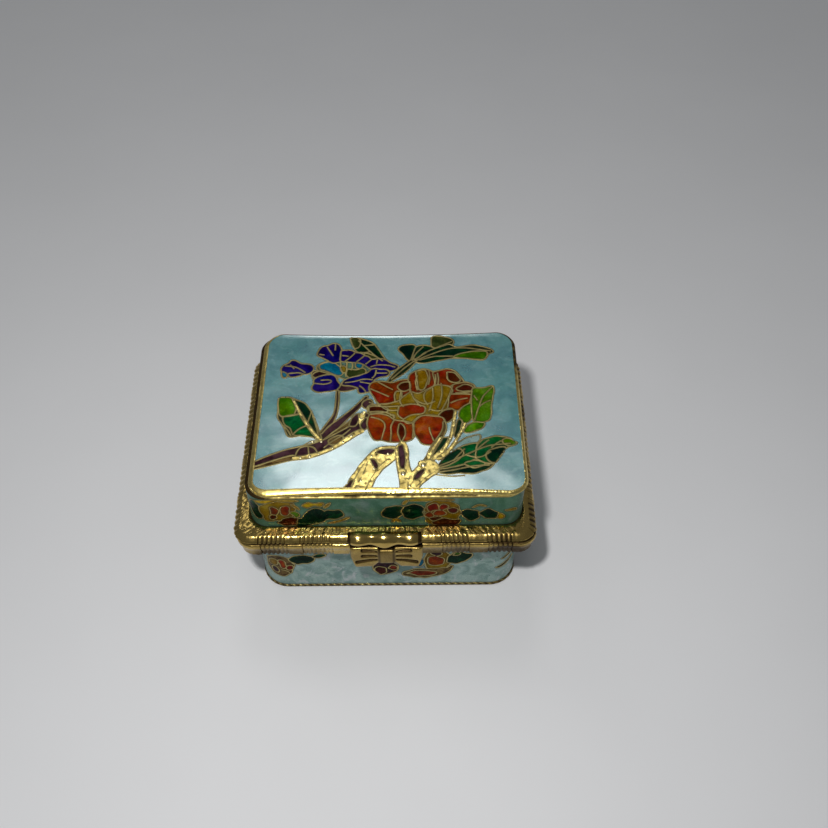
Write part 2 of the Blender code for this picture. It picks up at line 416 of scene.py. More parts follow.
tree.links.new(add_range(tree, speck_noise, 0.3, 0.75, 0.16, 0.34), result.inputs["Roughness"])
ripple = add_noise(tree, add_millimetres(tree, (0.6, 1.0, 1.0), -15), 0.55, 2.0, 0.4, 0.4)
pits = add_range(tree, add_noise(tree, mm, 5.0, 1.0), 0.66, 0.78, 1.0, 0.0)
tree.links.new(add_math(tree, "ADD", add_math(tree, "MULTIPLY", ripple, 3.0), pits), result.inputs["Height"])

# %% A material for an enamel
enamels = {}


def make_enamel(name, glass, deep, bloom_colour, metal=0.35, cloud_scale=0.3, bloom_amount=0.3, specks=0.4,
                rim_amount=0.75, bump=0.25, gloss=0.012, coat_index=1.5, blur=0.05):
    """A material for one colour of fired enamel; gloss, coat_index and blur set its clear surface."""
    material, tree, shader = new_material(name)
    values = {"Glass": glass, "Deep": deep, "Bloom": bloom_colour, "Cloud Scale": cloud_scale,
              "Bloom Amount": bloom_amount, "Speck Amount": specks, "Rim Amount": rim_amount}
    place_group(tree, shader, glass_group, values, bump, 0.02)
    shader.inputs["Metallic"].default_value = metal
    shader.inputs["Specular IOR Level"].default_value = 0.01
    shader.inputs["Coat Weight"].default_value = gloss
    shader.inputs["Coat IOR"].default_value = coat_index
    shader.inputs["Coat Roughness"].default_value = blur
    enamels[name] = material


# %% One enamel for each colour
make_enamel("turquoise_enamel", (0.065, 0.28, 0.275), (0.035, 0.2, 0.205), (0.2, 0.4, 0.375), 0.12,
            cloud_scale=0.24, bloom_amount=0.5, specks=0.1, rim_amount=0.6, gloss=1.0, coat_index=3.0,
            blur=0.15)
make_enamel("sea_enamel", (0.09, 0.185, 0.12), (0.06, 0.13, 0.08), (0.19, 0.24, 0.22), 0.2,
            cloud_scale=0.35, bloom_amount=0.5, specks=0.25, rim_amount=0.6)
make_enamel("mist_enamel", (0.3, 0.41, 0.37), (0.19, 0.28, 0.255), (0.46, 0.5, 0.5), 0.15,
            cloud_scale=0.35, bloom_amount=1.0, specks=0.9, rim_amount=0.6)
make_enamel("cobalt_enamel", (0.003, 0.003, 0.12), (0.001, 0.001, 0.05), (0.006, 0.006, 0.18), 0.3)
make_enamel("cyan_enamel", (0.01, 0.16, 0.25), (0.005, 0.09, 0.16), (0.06, 0.26, 0.32), 0.3)
make_enamel("orange_enamel", (0.21, 0.012, 0.0), (0.1, 0.006, 0.0), (0.32, 0.07, 0.002), 0.3,
            cloud_scale=0.5, bloom_amount=0.6)
make_enamel("maroon_enamel", (0.06, 0.005, 0.001), (0.03, 0.002, 0.0), (0.11, 0.018, 0.002), 0.3,
            cloud_scale=0.5)
make_enamel("amber_enamel", (0.22, 0.13, 0.008), (0.15, 0.08, 0.004), (0.32, 0.22, 0.03), 0.35,
            cloud_scale=0.6)
make_enamel("dark_green_enamel", (0.001, 0.02, 0.007), (0.0, 0.008, 0.004), (0.002, 0.085, 0.014), 0.3,
            cloud_scale=0.35, bloom_amount=0.7)
make_enamel("emerald_enamel", (0.002, 0.09, 0.014), (0.001, 0.04, 0.009), (0.012, 0.19, 0.04), 0.35,
            cloud_scale=0.5, bloom_amount=0.6)
make_enamel("olive_enamel", (0.05, 0.065, 0.014), (0.02, 0.03, 0.008), (0.1, 0.11, 0.03), 0.3,
            cloud_scale=0.5)
make_enamel("leaf_green_enamel", (0.07, 0.18, 0.001), (0.03, 0.1, 0.0), (0.16, 0.32, 0.004), 0.4,
            cloud_scale=0.4, bloom_amount=0.5)
make_enamel("honey_enamel", (0.5, 0.3, 0.015), (0.3, 0.16, 0.008), (0.7, 0.5, 0.06), 0.5,
            cloud_scale=0.6)
make_enamel("umber_enamel", (0.14, 0.085, 0.025), (0.05, 0.025, 0.01), (0.26, 0.18, 0.06), 0.4,
            cloud_scale=0.8, bloom_amount=0.35)
make_enamel("plum_enamel", (0.05, 0.019, 0.026), (0.015, 0.005, 0.008), (0.1, 0.05, 0.055), 0.3,
            cloud_scale=0.6)
make_enamel("counter_enamel", (0.03, 0.17, 0.22), (0.012, 0.09, 0.14), (0.1, 0.32, 0.36), 0.15,
            cloud_scale=0.5, bloom_amount=0.5, specks=0.9, rim_amount=0.0, bump=0.5, gloss=0.8)
print("enamels:", len(enamels))

# %% [markdown]
# ## Gilt brass
# The rings, the clasp and the wires are brass with a thin gilding. Gilding shines on crests and is darker
# and duller in grooves, seams, hollows and under overhangs: partly grime, where polish and dust collect,
# and partly painted shade. The meshes store that darkening on their points as "grime_and_shade", and the
# group mixes a dark colour in by it, so it follows the real relief.

# %% The gilding group
gilt_group, given, result = new_group(
    "Worn Gilding with Painted Shade",
    [
        ("Gold", COLOR, (0.7, 0.5, 0.18, 1.0)),
        ("Dull", COLOR, (0.42, 0.28, 0.1, 1.0)),
        ("Grime and Shade", COLOR, (0.055, 0.033, 0.012, 1.0)),
        ("Dullness", FLOAT, 0.2),
        ("Grain Scale", FLOAT, 5.0),
    ],
    [("Color", COLOR), ("Roughness", FLOAT), ("Height", FLOAT)],
)
tree = gilt_group
mm = add_millimetres(tree)
patch = add_range(tree, add_noise(tree, mm, 0.45, 4.0, 0.6, 0.6), 0.38, 0.66)
grain = add_noise(tree, mm, given.outputs["Grain Scale"], 2.0, 0.5)
# Stored darkening: partly grime, partly painted shade in grooves, seams and under overhangs.
grime_and_shade = add_attribute(tree, "grime_and_shade")
grime_and_shade_mix = add_range(tree, add_math(tree, "ADD", grime_and_shade, add_math(tree, "MULTIPLY", grain, 0.3)), 0.45, 1.15)
shade = add_mix(tree, add_math(tree, "MULTIPLY", patch, 0.55), given.outputs["Gold"], given.outputs["Dull"])
shade = add_mix(tree, grime_and_shade_mix, shade, given.outputs["Grime and Shade"])
tree.links.new(shade, result.inputs["Color"])
rough = add_math(tree, "ADD", given.outputs["Dullness"], add_math(tree, "MULTIPLY", patch, 0.12))
rough = add_math(tree, "ADD", rough, add_math(tree, "MULTIPLY", grime_and_shade_mix, 0.35))
tree.links.new(rough, result.inputs["Roughness"])
tree.links.new(grain, result.inputs["Height"])

# %% Gilt materials
def make_gilt(name, gold, darker, dullness, grain_scale, bump):
    """A material for gilt brass with its own colours, dullness and grain."""
    material, tree, shader = new_material(name)
    values = {"Gold": gold, "Dull": darker, "Dullness": dullness, "Grain Scale": grain_scale}
    place_group(tree, shader, gilt_group, values, bump, 0.03)
    shader.inputs["Metallic"].default_value = 1.0
    return material


wire_gilt = make_gilt("gilt_wire", (0.42, 0.345, 0.135), (0.22, 0.17, 0.07), 0.36, 4.0, 0.3)
leaf_gilt = make_gilt("gilt_sheet", (0.85, 0.67, 0.22), (0.55, 0.41, 0.11), 0.25, 2.6, 0.45)
brass = make_gilt("gilt_brass", (0.54, 0.385, 0.115), (0.34, 0.23, 0.065), 0.15, 5.0, 0.6)
bead_gilt = make_gilt("gilt_bead", (0.95, 0.84, 0.5), (0.85, 0.7, 0.3), 0.22, 2.0, 0.1)

# %% [markdown]
# ## Drawing with bent wire
# A cell is a fence of bent wire. It is drawn as a few corners in millimetres, and each corner is bent
# round, because flat wire does not fold sharply. Later cells lie over earlier ones, as on paper. A
# stroke is a cell that follows a line with a changing width, which suits stems and branches. A line is
# a single wire on its own, such as a vein in a leaf.

# %% Bent outlines
SPACING = 0.38


def uneven(spots, scale, layer):
    """A smooth random number between -1 and 1 for each flat spot; each layer has its own."""
    return np.array([noise.noise((scale * x, scale * y, layer)) for x, y in spots])


def read_points(text):
    """Points from a text of x,y pairs."""
    return np.array([[float(number) for number in pair.split(",")] for pair in text.split()])


def bent(points, bend, closed=True):
    """Round the corners of a line and put points on it at an even, small spacing."""
    count = len(points)
    path = []
    for i in range(count):
        here = points[i]
        if not closed and i in (0, count - 1):
            path.append(here)
            continue
        before = points[i - 1] - here
        after = points[(i + 1) % count] - here
        start = here + before * min(0.45, bend / max(np.linalg.norm(before), 1e-6))
        end = here + after * min(0.45, bend / max(np.linalg.norm(after), 1e-6))
        for t in (0.0, 0.25, 0.5, 0.75, 1.0):
            path.append((1 - t) ** 2 * start + 2 * t * (1 - t) * here + t * t * end)
    if closed:
        path.append(path[0])
    path = np.array(path)
    length = lengths(path)
    pieces = max(6 if closed else 2, round(length[-1] / SPACING))
    even = between(np.linspace(0, length[-1], pieces + 1), length, path)
    return even[:-1] if closed else even


# %% Strokes
def beside(path):
    """Unit normals to the left of an open path."""
    tangent = np.gradient(path, axis=0)
    tangent /= np.maximum(np.linalg.norm(tangent, axis=1), 1e-9)[:, None]
    return np.stack([-tangent[:, 1], tangent[:, 0]], 1)


def stroke_outline(stations, bend):
    """Outline of a stroke from (x, y, width) stations; a width of zero makes a point."""
    spine = bent(stations[:, :2], bend, closed=False)
    length = lengths(stations[:, :2])
    widths = np.interp(np.linspace(0, 1, len(spine)), length / length[-1], stations[:, 2])
    side = beside(spine) * widths[:, None] / 2
    return np.vstack([spine + side, (spine - side)[::-1]])


# %% A drawing
GROW = 0.13


def grown(outline, by, wobble):
    """An outline moved outwards, as a wire hides the edge of its cell, and made uneven by hand."""
    x, y = outline.T
    turning = np.sign(np.sum(x * np.roll(y, -1) - np.roll(x, -1) * y))
    hand = uneven(outline, 1.1, 7.0)
    return outline + (turning * (by + wobble * hand))[:, None] * outward(outline)


class Drawing:
    """Cells and single wires of one flat picture, in the order they were drawn."""

    def __init__(self, wobble):
        self.cells = []
        self.lines = []
        self.wobble = wobble

    def cell(self, colour, text, bend=0.45):
        """A cell of one enamel with its corners x,y; a larger bend makes it rounder."""
        self.cells.append((colour, grown(bent(read_points(text), 0.5 * bend), GROW, self.wobble)))

    def stroke(self, colour, text, bend=1.0):
        """A cell that follows a line of stations x,y,width."""
        self.cells.append((colour, stroke_outline(read_points(text), bend)))

    def line(self, *texts, bend=0.8):
        """Single wires, each through its own corners x,y."""
        self.lines += [bent(read_points(text), bend, closed=False) for text in texts]


# %% [markdown]
# ## From a drawing to cells and wires
# The flat picture is triangulated once, with every outline as an edge, so that neighbouring cells share
# their border exactly and no gap or overlap can show. Each triangle belongs to the topmost cell over it.
# The borders between cells become wires, and each colour becomes one closed slab of enamel, a little
# lower than the wires and drawn up against them, as melted glass is.

# %% What lies inside, and what is nearest
def inside(points, outline):
    """Which of the points lie inside a closed outline."""
    x, y = points[:, 0], points[:, 1]
    hit = np.zeros(len(points), bool)
    near = (x > outline[:, 0].min()) & (x < outline[:, 0].max())
    near &= (y > outline[:, 1].min()) & (y < outline[:, 1].max())
    x, y = x[near], y[near]
    crossings = np.zeros(len(x), bool)
    for a, b in zip(outline, np.roll(outline, -1, 0)):
        straddles = (a[1] > y) != (b[1] > y)
        if a[1] != b[1]:
            crossings ^= straddles & (x < (b[0] - a[0]) * (y - a[1]) / (b[1] - a[1]) + a[0])
    hit[near] = crossings
    return hit


def tree_of(points):
    """A search tree over flat points."""
    search = kdtree.KDTree(max(1, len(points)))
    for index, point in enumerate(points):
        search.insert((point[0], point[1], 0.0), index)
    search.balance()
    return search


# %% Cut a field into cells
ROW_SHARE = 0.866
SHAKE = 0.12
BESIDE_WIRE = 0.24
TOO_NEAR = 0.17


def scattered(field, step, seed):
    """Spots of a slightly shaken grid of even triangles over a field."""
    random = np.random.default_rng(seed)
    low, high = field.min(0), field.max(0)
    row_step = ROW_SHARE * step
    spots = []
    for row in range(1, int((high[1] - low[1]) / row_step)):
        for column in range(int((high[0] - low[0]) / step)):
            spot = low + np.array([(column + 0.5 * (row % 2)) * step, row * ROW_SHARE * step])
            spots.append(spot + random.uniform(-SHAKE, SHAKE, 2) * step)
    return spots


def cut_field(field, drawing, step, seed):
    """Triangulate a field along its cells: flat points, triangles, and the owner of each triangle."""
    outlines = [field] + [outline for _, outline in drawing.cells]
    points = []
    edges = []
    for outline in outlines:
        first = len(points)
        points.extend(outline.tolist())
        edges.extend((first + i, first + (i + 1) % len(outline)) for i in range(len(outline)))
    fixed = tree_of(points)
    extra = []
    for outline in outlines[1:]:
        for offset in (-BESIDE_WIRE, BESIDE_WIRE):
            spots = outline + outward(outline) * offset
            extra += [spot for spot in spots if fixed.find((*spot, 0.0))[2] > TOO_NEAR]
    extra += [spot for spot in scattered(field, step, seed) if fixed.find((*spot, 0.0))[2] > 0.45 * step]
    extra = np.array(extra)
    extra = extra[inside(extra, field)]
    vectors = [Vector(point) for point in points] + [Vector(point) for point in extra]
    found = geometry.delaunay_2d_cdt(vectors, edges, [], 0, 1e-5, False)
    flat = np.array([(v.x, v.y) for v in found[0]])
    triangles = np.array([face for face in found[2] if len(face) == 3])
    centres = flat[triangles].mean(1)
    keep = inside(centres, field)
    triangles, centres = triangles[keep], centres[keep]
    owner = np.full(len(triangles), -1)
    for index, (_, outline) in enumerate(drawing.cells):
        owner[inside(centres, outline)] = index
    return flat, triangles, owner


# %% Trace the borders between cells
def trace_borders(triangles, owner):
    """Chains of point numbers along every border between two different cells."""
    sides = {}
    for triangle, who in zip(triangles.tolist(), owner.tolist()):
        for k in range(3):
            a, b = triangle[k], triangle[(k + 1) % 3]
            sides.setdefault((min(a, b), max(a, b)), []).append(who)
    links = {}
    for (a, b), owners in sides.items():
        if len(owners) == 2 and owners[0] != owners[1]:
            links.setdefault(a, []).append(b)
            links.setdefault(b, []).append(a)
    unused = {(min(a, b), max(a, b)) for a in links for b in links[a]}
    chains = []
    starts = sorted(a for a in links if len(links[a]) != 2) + sorted(links)
    for start in starts:
        for following in sorted(links[start]):
            edge = (min(start, following), max(start, following))
            if edge not in unused:
                continue
            chain = [start, following]
            unused.discard(edge)
            while len(links[chain[-1]]) == 2:
                here = chain[-1]
                options = [n for n in links[here] if (min(here, n), max(here, n)) in unused]
                if not options:
                    break
                unused.discard((min(here, options[0]), max(here, options[0])))
                chain.append(options[0])
            chains.append(chain)
    return chains


# %% [markdown]
# ## Wires
# After the last firing the enamel is ground flat and polished, and the wires are left a hair proud of
# it. A bevelled curve could make a wire, but here each one is skinned over rails that are carried onto
# the surface one by one, so it follows the bend of a wall. Its width and height waver as if bent by hand.

# %% Wires
def relaxed(path, rounds=2):
    """A path with small kinks smoothed out and its ends kept."""
    for _ in range(rounds):
        if len(path) > 2:
            inner = 0.25 * path[:-2] + 0.5 * path[1:-1] + 0.25 * path[2:]
            path = np.vstack([path[:1], inner, path[-1:]])
    return path


WIRE_RISE = 0.04
SHORTEST_WIRE = 0.3
WIRE_SECTION = ((-0.5, -1.6), (-0.5, 0.2), (-0.32, 0.85), (0.0, 1.08), (0.32, 0.85), (0.5, 0.2), (0.5, -1.6))


def make_wires(name, paths, place, width, body):
    """One piece of raised wires with half-round tops along flat paths."""
    skins = []
    for path in paths:
        if len(path) < 2 or lengths(path)[-1] < SHORTEST_WIRE:
            continue
        side = beside(path)
        wobble = uneven(path, 0.9, 3.0)
        wide = width * (1 + 0.35 * wobble)
        rise = WIRE_RISE * (1 + 0.3 * wobble)
        rails = []
        for across, up in WIRE_SECTION:
            spot = path + side * (across * wide)[:, None]
            rails.append(place(spot[:, 0], spot[:, 1], up * rise))
        skins.append(skin(list(np.array(rails).transpose(1, 0, 2))))
    points, faces = join(skins)
    marks = [max(0.0, 0.55 - 0.5 * up) for _, up in WIRE_SECTION]
    grime_and_shade = np.tile(marks, len(points) // len(WIRE_SECTION))
    add_piece(name, points, faces, wire_gilt, body, values={"grime_and_shade": grime_and_shade})


# %% [markdown]
# ## Glass in the cells
# Molten glass wets a wire and climbs it, so the enamel is lowest in the middle of a cell. A flat face
# would show the colour too, but a slab with sides and a bottom is closed, can be exported and shows no
# gap beside a wire. The gilt areas are made the same way, as a thin sheet with a hammered top.

# %% Enamel slabs
ENAMEL_DEPTH = 0.3
GLASS_WAVES = 0.02
GLASS_SAG = 0.015
SAG_REACH = 0.6
SHEET_RISE = 0.05


def make_slab(name, flat, triangles, gap, place, material, body, replaces=(), metal=False):
    """One closed slab of enamel or sheet from its triangles; the glass climbs where a wire is near."""
    used = np.unique(triangles)
    number = {old: new for new, old in enumerate(used.tolist())}
    spots = flat[used]
    near = gap[used]
    if metal:
        grain = uneven(spots, 1.7, 1.0)
        rise = SHEET_RISE * (0.6 + 0.8 * grain)
        values = {"grime_and_shade": np.tile(np.clip(0.35 - 0.8 * grain, 0, 1), 2)}
    else:
        rise = GLASS_WAVES * uneven(spots, 0.28, 7.0) - GLASS_SAG * (1 - np.exp(-near / SAG_REACH))
        values = {"wire_gap": np.tile(near, 2)}
    top = place(spots[:, 0], spots[:, 1], rise)
    bottom = place(spots[:, 0], spots[:, 1], np.full(len(spots), -ENAMEL_DEPTH))
    count = len(used)
    faces = []
    border = {}
    for triangle in triangles.tolist():
        a, b, c = (number[corner] for corner in triangle)
        faces.append((a, b, c))
        faces.append((c + count, b + count, a + count))
        for p, q in ((a, b), (b, c), (c, a)):
            if border.pop((q, p), None) is None:
                border[(p, q)] = True
    faces.extend((q, p, p + count, q + count) for p, q in border)
    add_piece(name, np.vstack([top, bottom]), faces, material, body, replaces, values)


# %% Lay a whole picture
WIRE_HIDES = 0.06


def lay_picture(prefix, field, drawing, place, ground, step, wire_width, body, replaces, seed):
    """Wires and enamels of one field; the ground's enamel fills what no cell covers."""
    flat, triangles, owner = cut_field(field, drawing, step, seed)
    paths = [relaxed(flat[chain]) for chain in trace_borders(triangles, owner)]
    paths += [relaxed(line) for line in drawing.lines]
    make_wires(prefix + "_wires", paths, place, wire_width, body)
    search = tree_of(np.vstack(paths))
    gap = np.array([search.find((*spot, 0.0))[2] for spot in flat])
    gap = np.maximum(0, gap - WIRE_HIDES)
    colours = [ground] + sorted({colour for colour, _ in drawing.cells} - {ground})
    names = np.array([drawing.cells[k][0] if k >= 0 else ground for k in owner])
    for colour in colours:
        mine = triangles[names == colour]
        if not len(mine):
            continue
        if colour == "gilt":
            make_slab(f"{prefix}_gilding", flat, mine, gap, place, leaf_gilt, body, metal=True)
            continue
        material = enamels[colour + "_enamel"]
        first = replaces if colour == ground else ()
        make_slab(f"{prefix}_{colour}", flat, mine, gap, place, material, body, first)
    print(prefix, "cells:", len(drawing.cells), "triangles:", len(triangles), "wires:", len(paths))


# %% [markdown]
# ## The picture on the lid
# Two flowers on branches: a blue one with toothed petals and a large orange peony, with leaves, and two
# gilt trunks that rise from the front edge. The figures are plain shapes in millimetres on the lid's
# top, X to the right and Y to the back, drawn from the back of the picture to its front.

# %% Branches and stems
lid = Drawing(0.15)
lid.stroke("plum", "-8.9,4.4,0.5 -8.8,1.0,0.6 -9.0,-2.0,0.6 -9.8,-4.0,1.0 -11.2,-6.8,1.3")
lid.stroke("plum", "-3.2,2.4,0.6 -5.2,-0.6,1.0 -7.3,-3.0,1.2 -9.4,-5.4,1.8 -11.4,-8.6,2.0")
lid.stroke("umber", "-4.4,-2.2,1.0 -6.2,-4.2,1.0 -8.4,-6.2,1.1 -10.4,-8.2,1.0")
lid.stroke("plum", "-23.2,-13.9,1.5 -20.0,-12.4,2.1 -16.8,-11.2,2.4 -13.6,-10.4,2.4 -10.6,-9.4,2.6 "
           "-8.4,-8.0,2.6 -6.0,-6.0,2.2 -3.6,-4.2,2.6 -2.9,-2.0,2.0", bend=2.0)
lid.stroke("umber", "-23.2,-14.4,0.5 -20.0,-13.3,0.9 -17.2,-12.3,1.1 -15.6,-11.9,1.1")
lid.stroke("gilt", "-16.2,-12.3,0.6 -13.4,-11.9,0.8 -11.0,-11.0,0.6 -8.8,-9.8,0.6 -7.0,-8.2,0.9 "
           "-5.2,-6.6,1.0 -3.8,-5.9,0.8")
lid.line("-15.7,-11.6 -15.3,-9.9 -13.9,-9.3 -12.4,-9.7 -11.9,-10.9", "-13.6,-9.4 -13.3,-11.6",
         "-14.4,-9.3 -13.4,-8.4 -12.2,-8.2 -11.2,-8.4", "-10.8,-9.9 -9.4,-8.4 -7.4,-7.0 -6.2,-5.6")
lid.cell("umber", "-10.0,-8.2 -8.0,-7.0 -7.2,-7.6 -8.6,-9.0 -9.8,-9.2", 0.2)
lid.cell("gilt", "-4.8,-4.0 -4.4,-2.2 -3.7,-1.4 -3.8,-2.6 -4.4,-4.6", 0.1)
lid.cell("plum", "-6.5,-4.8 -5.9,-2.9 -5.0,-2.0 -4.8,-3.4 -5.3,-5.0", 0.2)
lid.cell("plum", "-4.4,-5.0 -3.5,-2.6 -2.8,-4.2 -3.6,-6.0", 0.2)
lid.cell("plum", "-4.2,0.7 -3.0,1.6 -2.2,0.9 -2.9,-0.9 -4.0,-0.6")
print("cells so far:", len(lid.cells))

# %% The leaf on the left
lid.cell("dark_green", "-19.6,2.2 -17.4,2.0 -14.8,0.6 -13.6,-1.4 -12.5,-4.4 -11.2,-8.2 -13.0,-7.3 "
         "-15.2,-6.9 -17.2,-7.4 -18.0,-5.2 -19.5,-2.6", 0.5)
lid.cell("leaf_green", "-19.6,2.2 -17.4,2.0 -16.4,-0.4 -16.6,-2.0 -19.2,-2.4 -19.6,0.0", 0.4)
lid.line("-18.4,-4.6 -17.5,-5.6 -16.8,-7.1")
lid.cell("emerald", "-18.6,-2.6 -16.9,-2.2 -15.5,-1.9 -14.0,-4.4 -12.0,-7.8 -13.2,-7.2 -15.2,-6.8 "
         "-16.4,-6.9 -16.9,-5.2 -18.2,-4.4", 0.2)
lid.stroke("gilt", "-17.0,1.6,0.25 -15.8,-1.2,0.4 -14.2,-4.2,0.45 -12.6,-6.8,0.5 -11.4,-8.2,0.4")
lid.line("-15.6,-1.9 -17.0,-2.3 -18.9,-2.5", "-14.1,-4.2 -13.7,-2.6 -13.4,-1.2",
         "-14.0,-4.6 -15.6,-5.4 -16.6,-6.9", "-11.7,-7.8 -12.4,-4.8 -13.2,-2.4")

# %% Leaves at the back
lid.cell("dark_green", "-7.0,17.6 -5.2,17.4 -3.4,16.6 -2.3,15.8 -1.5,14.2 -0.6,12.4 0.2,10.8 -1.8,11.0 "
         "-3.4,11.8 -4.6,13.2 -5.8,14.0 -6.4,15.6", 0.5)
lid.cell("olive", "-7.0,17.6 -5.2,17.4 -5.0,16.2 -5.3,14.8 -6.1,14.6 -6.5,16.0", 0.3)
lid.cell("olive", "-4.4,13.4 -3.4,13.2 -1.8,12.2 -0.6,11.4 -1.8,11.1 -3.2,11.9", 0.3)
lid.line("-5.4,16.8 -4.0,15.0 -2.2,12.8 -0.6,11.2", "-4.4,15.4 -3.0,15.6 -2.4,15.6",
         "-3.0,13.8 -4.2,13.4 -5.0,13.6")

lid.cell("dark_green", "2.2,14.4 3.0,15.3 5.4,15.6 5.8,14.8 5.0,13.0 4.9,11.4 4.2,11.3 3.5,12.9", 0.4)
lid.cell("dark_green", "5.8,15.0 7.4,15.4 9.4,14.6 7.4,12.8 5.6,11.0 4.9,11.4 5.4,13.2", 0.5)
lid.cell("olive", "8.8,17.6 10.4,17.8 12.9,17.0 13.2,16.0 11.8,14.8 8.9,14.8", 0.4)
lid.cell("olive", "5.6,11.2 7.6,13.4 10.6,14.2 12.4,13.2 11.2,12.0 8.4,11.2 7.0,10.7", 0.3)
lid.cell("dark_green", "5.2,11.0 8.3,13.8 12.2,15.6 13.4,14.6 16.6,15.3 18.6,14.8 20.3,14.1 20.9,13.3 "
         "19.6,13.2 19.2,11.9 18.7,11.3 15.4,11.9 12.6,12.0 9.4,11.2 7.2,10.6", 0.5)
lid.cell("leaf_green", "12.8,12.2 14.8,13.2 17.2,13.6 19.5,13.6 19.2,12.0 18.7,11.4 15.6,11.9", 0.35)
lid.line("5.0,10.8 7.6,12.4 10.4,13.8 12.6,14.6 15.8,14.6 20.2,13.7",
         "5.4,11.4 7.8,13.6 11.0,15.4 12.8,16.4", "6.4,11.4 9.2,12.4 12.8,12.4",
         "5.0,11.2 5.6,13.0 7.2,15.0")
lid.stroke("dark_green", "5.6,11.6,1.0 4.2,9.9,1.5 2.8,8.4,1.7 1.4,6.9,1.1 0.5,5.7,0.5")
lid.line("5.4,11.2 3.4,9.2 1.0,6.4")

print("cells so far:", len(lid.cells))

# %% The blue flower
lid.cell("plum", "-13.9,8.6 -12.4,9.0 -11.4,8.5 -9.2,7.8 -9.0,6.8 -10.4,7.4 -12.2,7.4 -13.4,7.0 "
         "-14.0,7.8", 0.3)
lid.cell("sea", "-12.9,10.4 -10.6,11.4 -8.4,11.6 -5.8,11.2 -3.6,10.2 -2.8,8.8 -4.0,7.4 -7.0,6.4 -9.4,7.6 "
         "-11.6,8.6 -13.2,9.2", 0.5)
lid.cell("cyan", "-12.8,10.2 -11.6,10.9 -10.2,11.2 -9.4,10.4 -8.6,9.4 -8.1,8.3 -8.4,7.4 -9.6,7.8 "
         "-10.8,8.7 -12.4,9.3", 0.4)
lid.cell("olive", "-7.4,9.2 -5.4,8.8 -4.2,9.5 -3.6,8.6 -4.6,7.4 -6.6,6.9 -7.5,7.7", 0.4)
lid.cell("cyan", "-5.8,10.7 -4.9,11.0 -4.3,10.2 -4.7,9.4 -5.6,9.5", 0.3)
lid.cell("amber", "-8.6,10.0 -7.7,10.0 -7.3,8.5 -8.1,8.2", 0.3)
lid.cell("plum", "-9.0,3.9 -8.6,5.1 -6.6,5.0 -5.0,4.5 -6.4,3.9 -7.8,3.5", 0.3)
lid.cell("cobalt", "-19.9,9.5 -19.3,10.5 -18.4,10.7 -18.1,11.8 -17.2,11.5 -16.2,10.6 -14.3,10.5 "
         "-13.6,9.6 -14.0,8.7 -14.8,8.0 -15.8,8.2 -17.6,8.5 -18.9,8.2 -19.7,8.6", 0.2)
lid.line("-19.2,10.2 -17.6,10.1 -16.4,9.5 -15.2,8.4", "-18.2,10.5 -17.4,9.4")
lid.cell("cyan", "-19.7,8.8 -19.0,8.4 -18.5,7.6 -18.8,6.9 -19.5,7.4", 0.2)
lid.cell("cobalt", "-18.4,8.2 -16.0,8.3 -15.6,7.8 -18.2,7.3", 0.2)
lid.cell("cobalt", "-13.3,13.0 -12.7,14.8 -11.9,15.5 -11.3,15.2 -10.6,15.9 -10.0,16.2 -9.2,15.9 "
         "-8.7,14.6 -8.5,13.0 -8.6,11.3 -10.2,10.8 -11.2,11.7 -12.4,12.4", 0.2)
lid.line("-11.4,15.2 -10.9,14.2 -10.1,12.7", "-9.8,15.9 -9.8,14.2", "-12.8,13.2 -11.8,13.0")
lid.cell("cobalt", "-8.6,14.1 -6.6,14.2 -6.0,13.4 -4.8,13.4 -4.1,12.5 -3.4,12.5 -2.8,11.5 -1.6,11.8 "
         "-0.4,11.7 0.6,10.8 2.6,9.9 1.9,8.8 0.4,8.6 -1.0,9.1 -2.2,8.7 -3.4,9.8 -4.8,10.9 -7.2,11.1 "
         "-8.6,11.4", 0.2)
lid.line("-6.0,13.4 -6.8,12.2 -7.8,11.3", "-8.4,12.8 -7.2,12.6", "-4.2,12.6 -4.9,11.8 -5.6,11.1",
         "-2.8,11.6 -3.4,10.9 -3.9,10.4", "-2.9,9.7 -1.9,10.3 0.4,10.2 1.8,9.6", "-1.6,11.6 -1.8,10.5")
lid.cell("cobalt", "-7.9,6.2 -6.6,6.9 -4.6,7.5 -3.4,8.1 -2.8,8.9 -2.2,9.3 -1.4,9.0 0.3,8.9 0.7,8.0 "
         "0.4,7.3 -1.3,7.1 -2.3,6.5 -2.4,4.8 -2.6,3.6 -3.9,3.1 -4.9,2.9 -5.1,4.5 -6.4,5.0 -8.2,5.1", 0.2)
lid.line("-7.6,5.7 -5.6,6.0 -4.2,6.7 -2.4,6.4", "-4.9,4.9 -4.2,4.4 -3.6,3.2", "-4.8,5.9 -2.9,5.4",
         "-1.8,8.9 -1.9,7.4 -2.6,6.8", "-1.8,8.1 0.3,8.1")
lid.cell("cobalt", "-13.6,6.6 -12.6,7.3 -11.4,7.6 -10.2,7.8 -9.4,7.2 -9.1,6.0 -8.4,5.1 -9.0,4.1 "
         "-10.8,3.6 -12.3,3.4 -13.4,3.8 -13.9,4.8 -13.2,5.5", 0.2)
lid.line("-13.4,5.7 -11.6,5.3 -10.2,5.7 -9.9,6.3 -10.8,6.6 -12.2,6.4",
         "-13.6,6.6 -14.1,7.6 -13.4,8.6 -11.6,9.0", "-8.7,11.2 -8.5,10.0", "-7.4,11.2 -7.4,9.4 -7.5,7.2",
         "-6.4,10.9 -6.2,9.6 -6.6,8.9")

print("cells so far:", len(lid.cells))

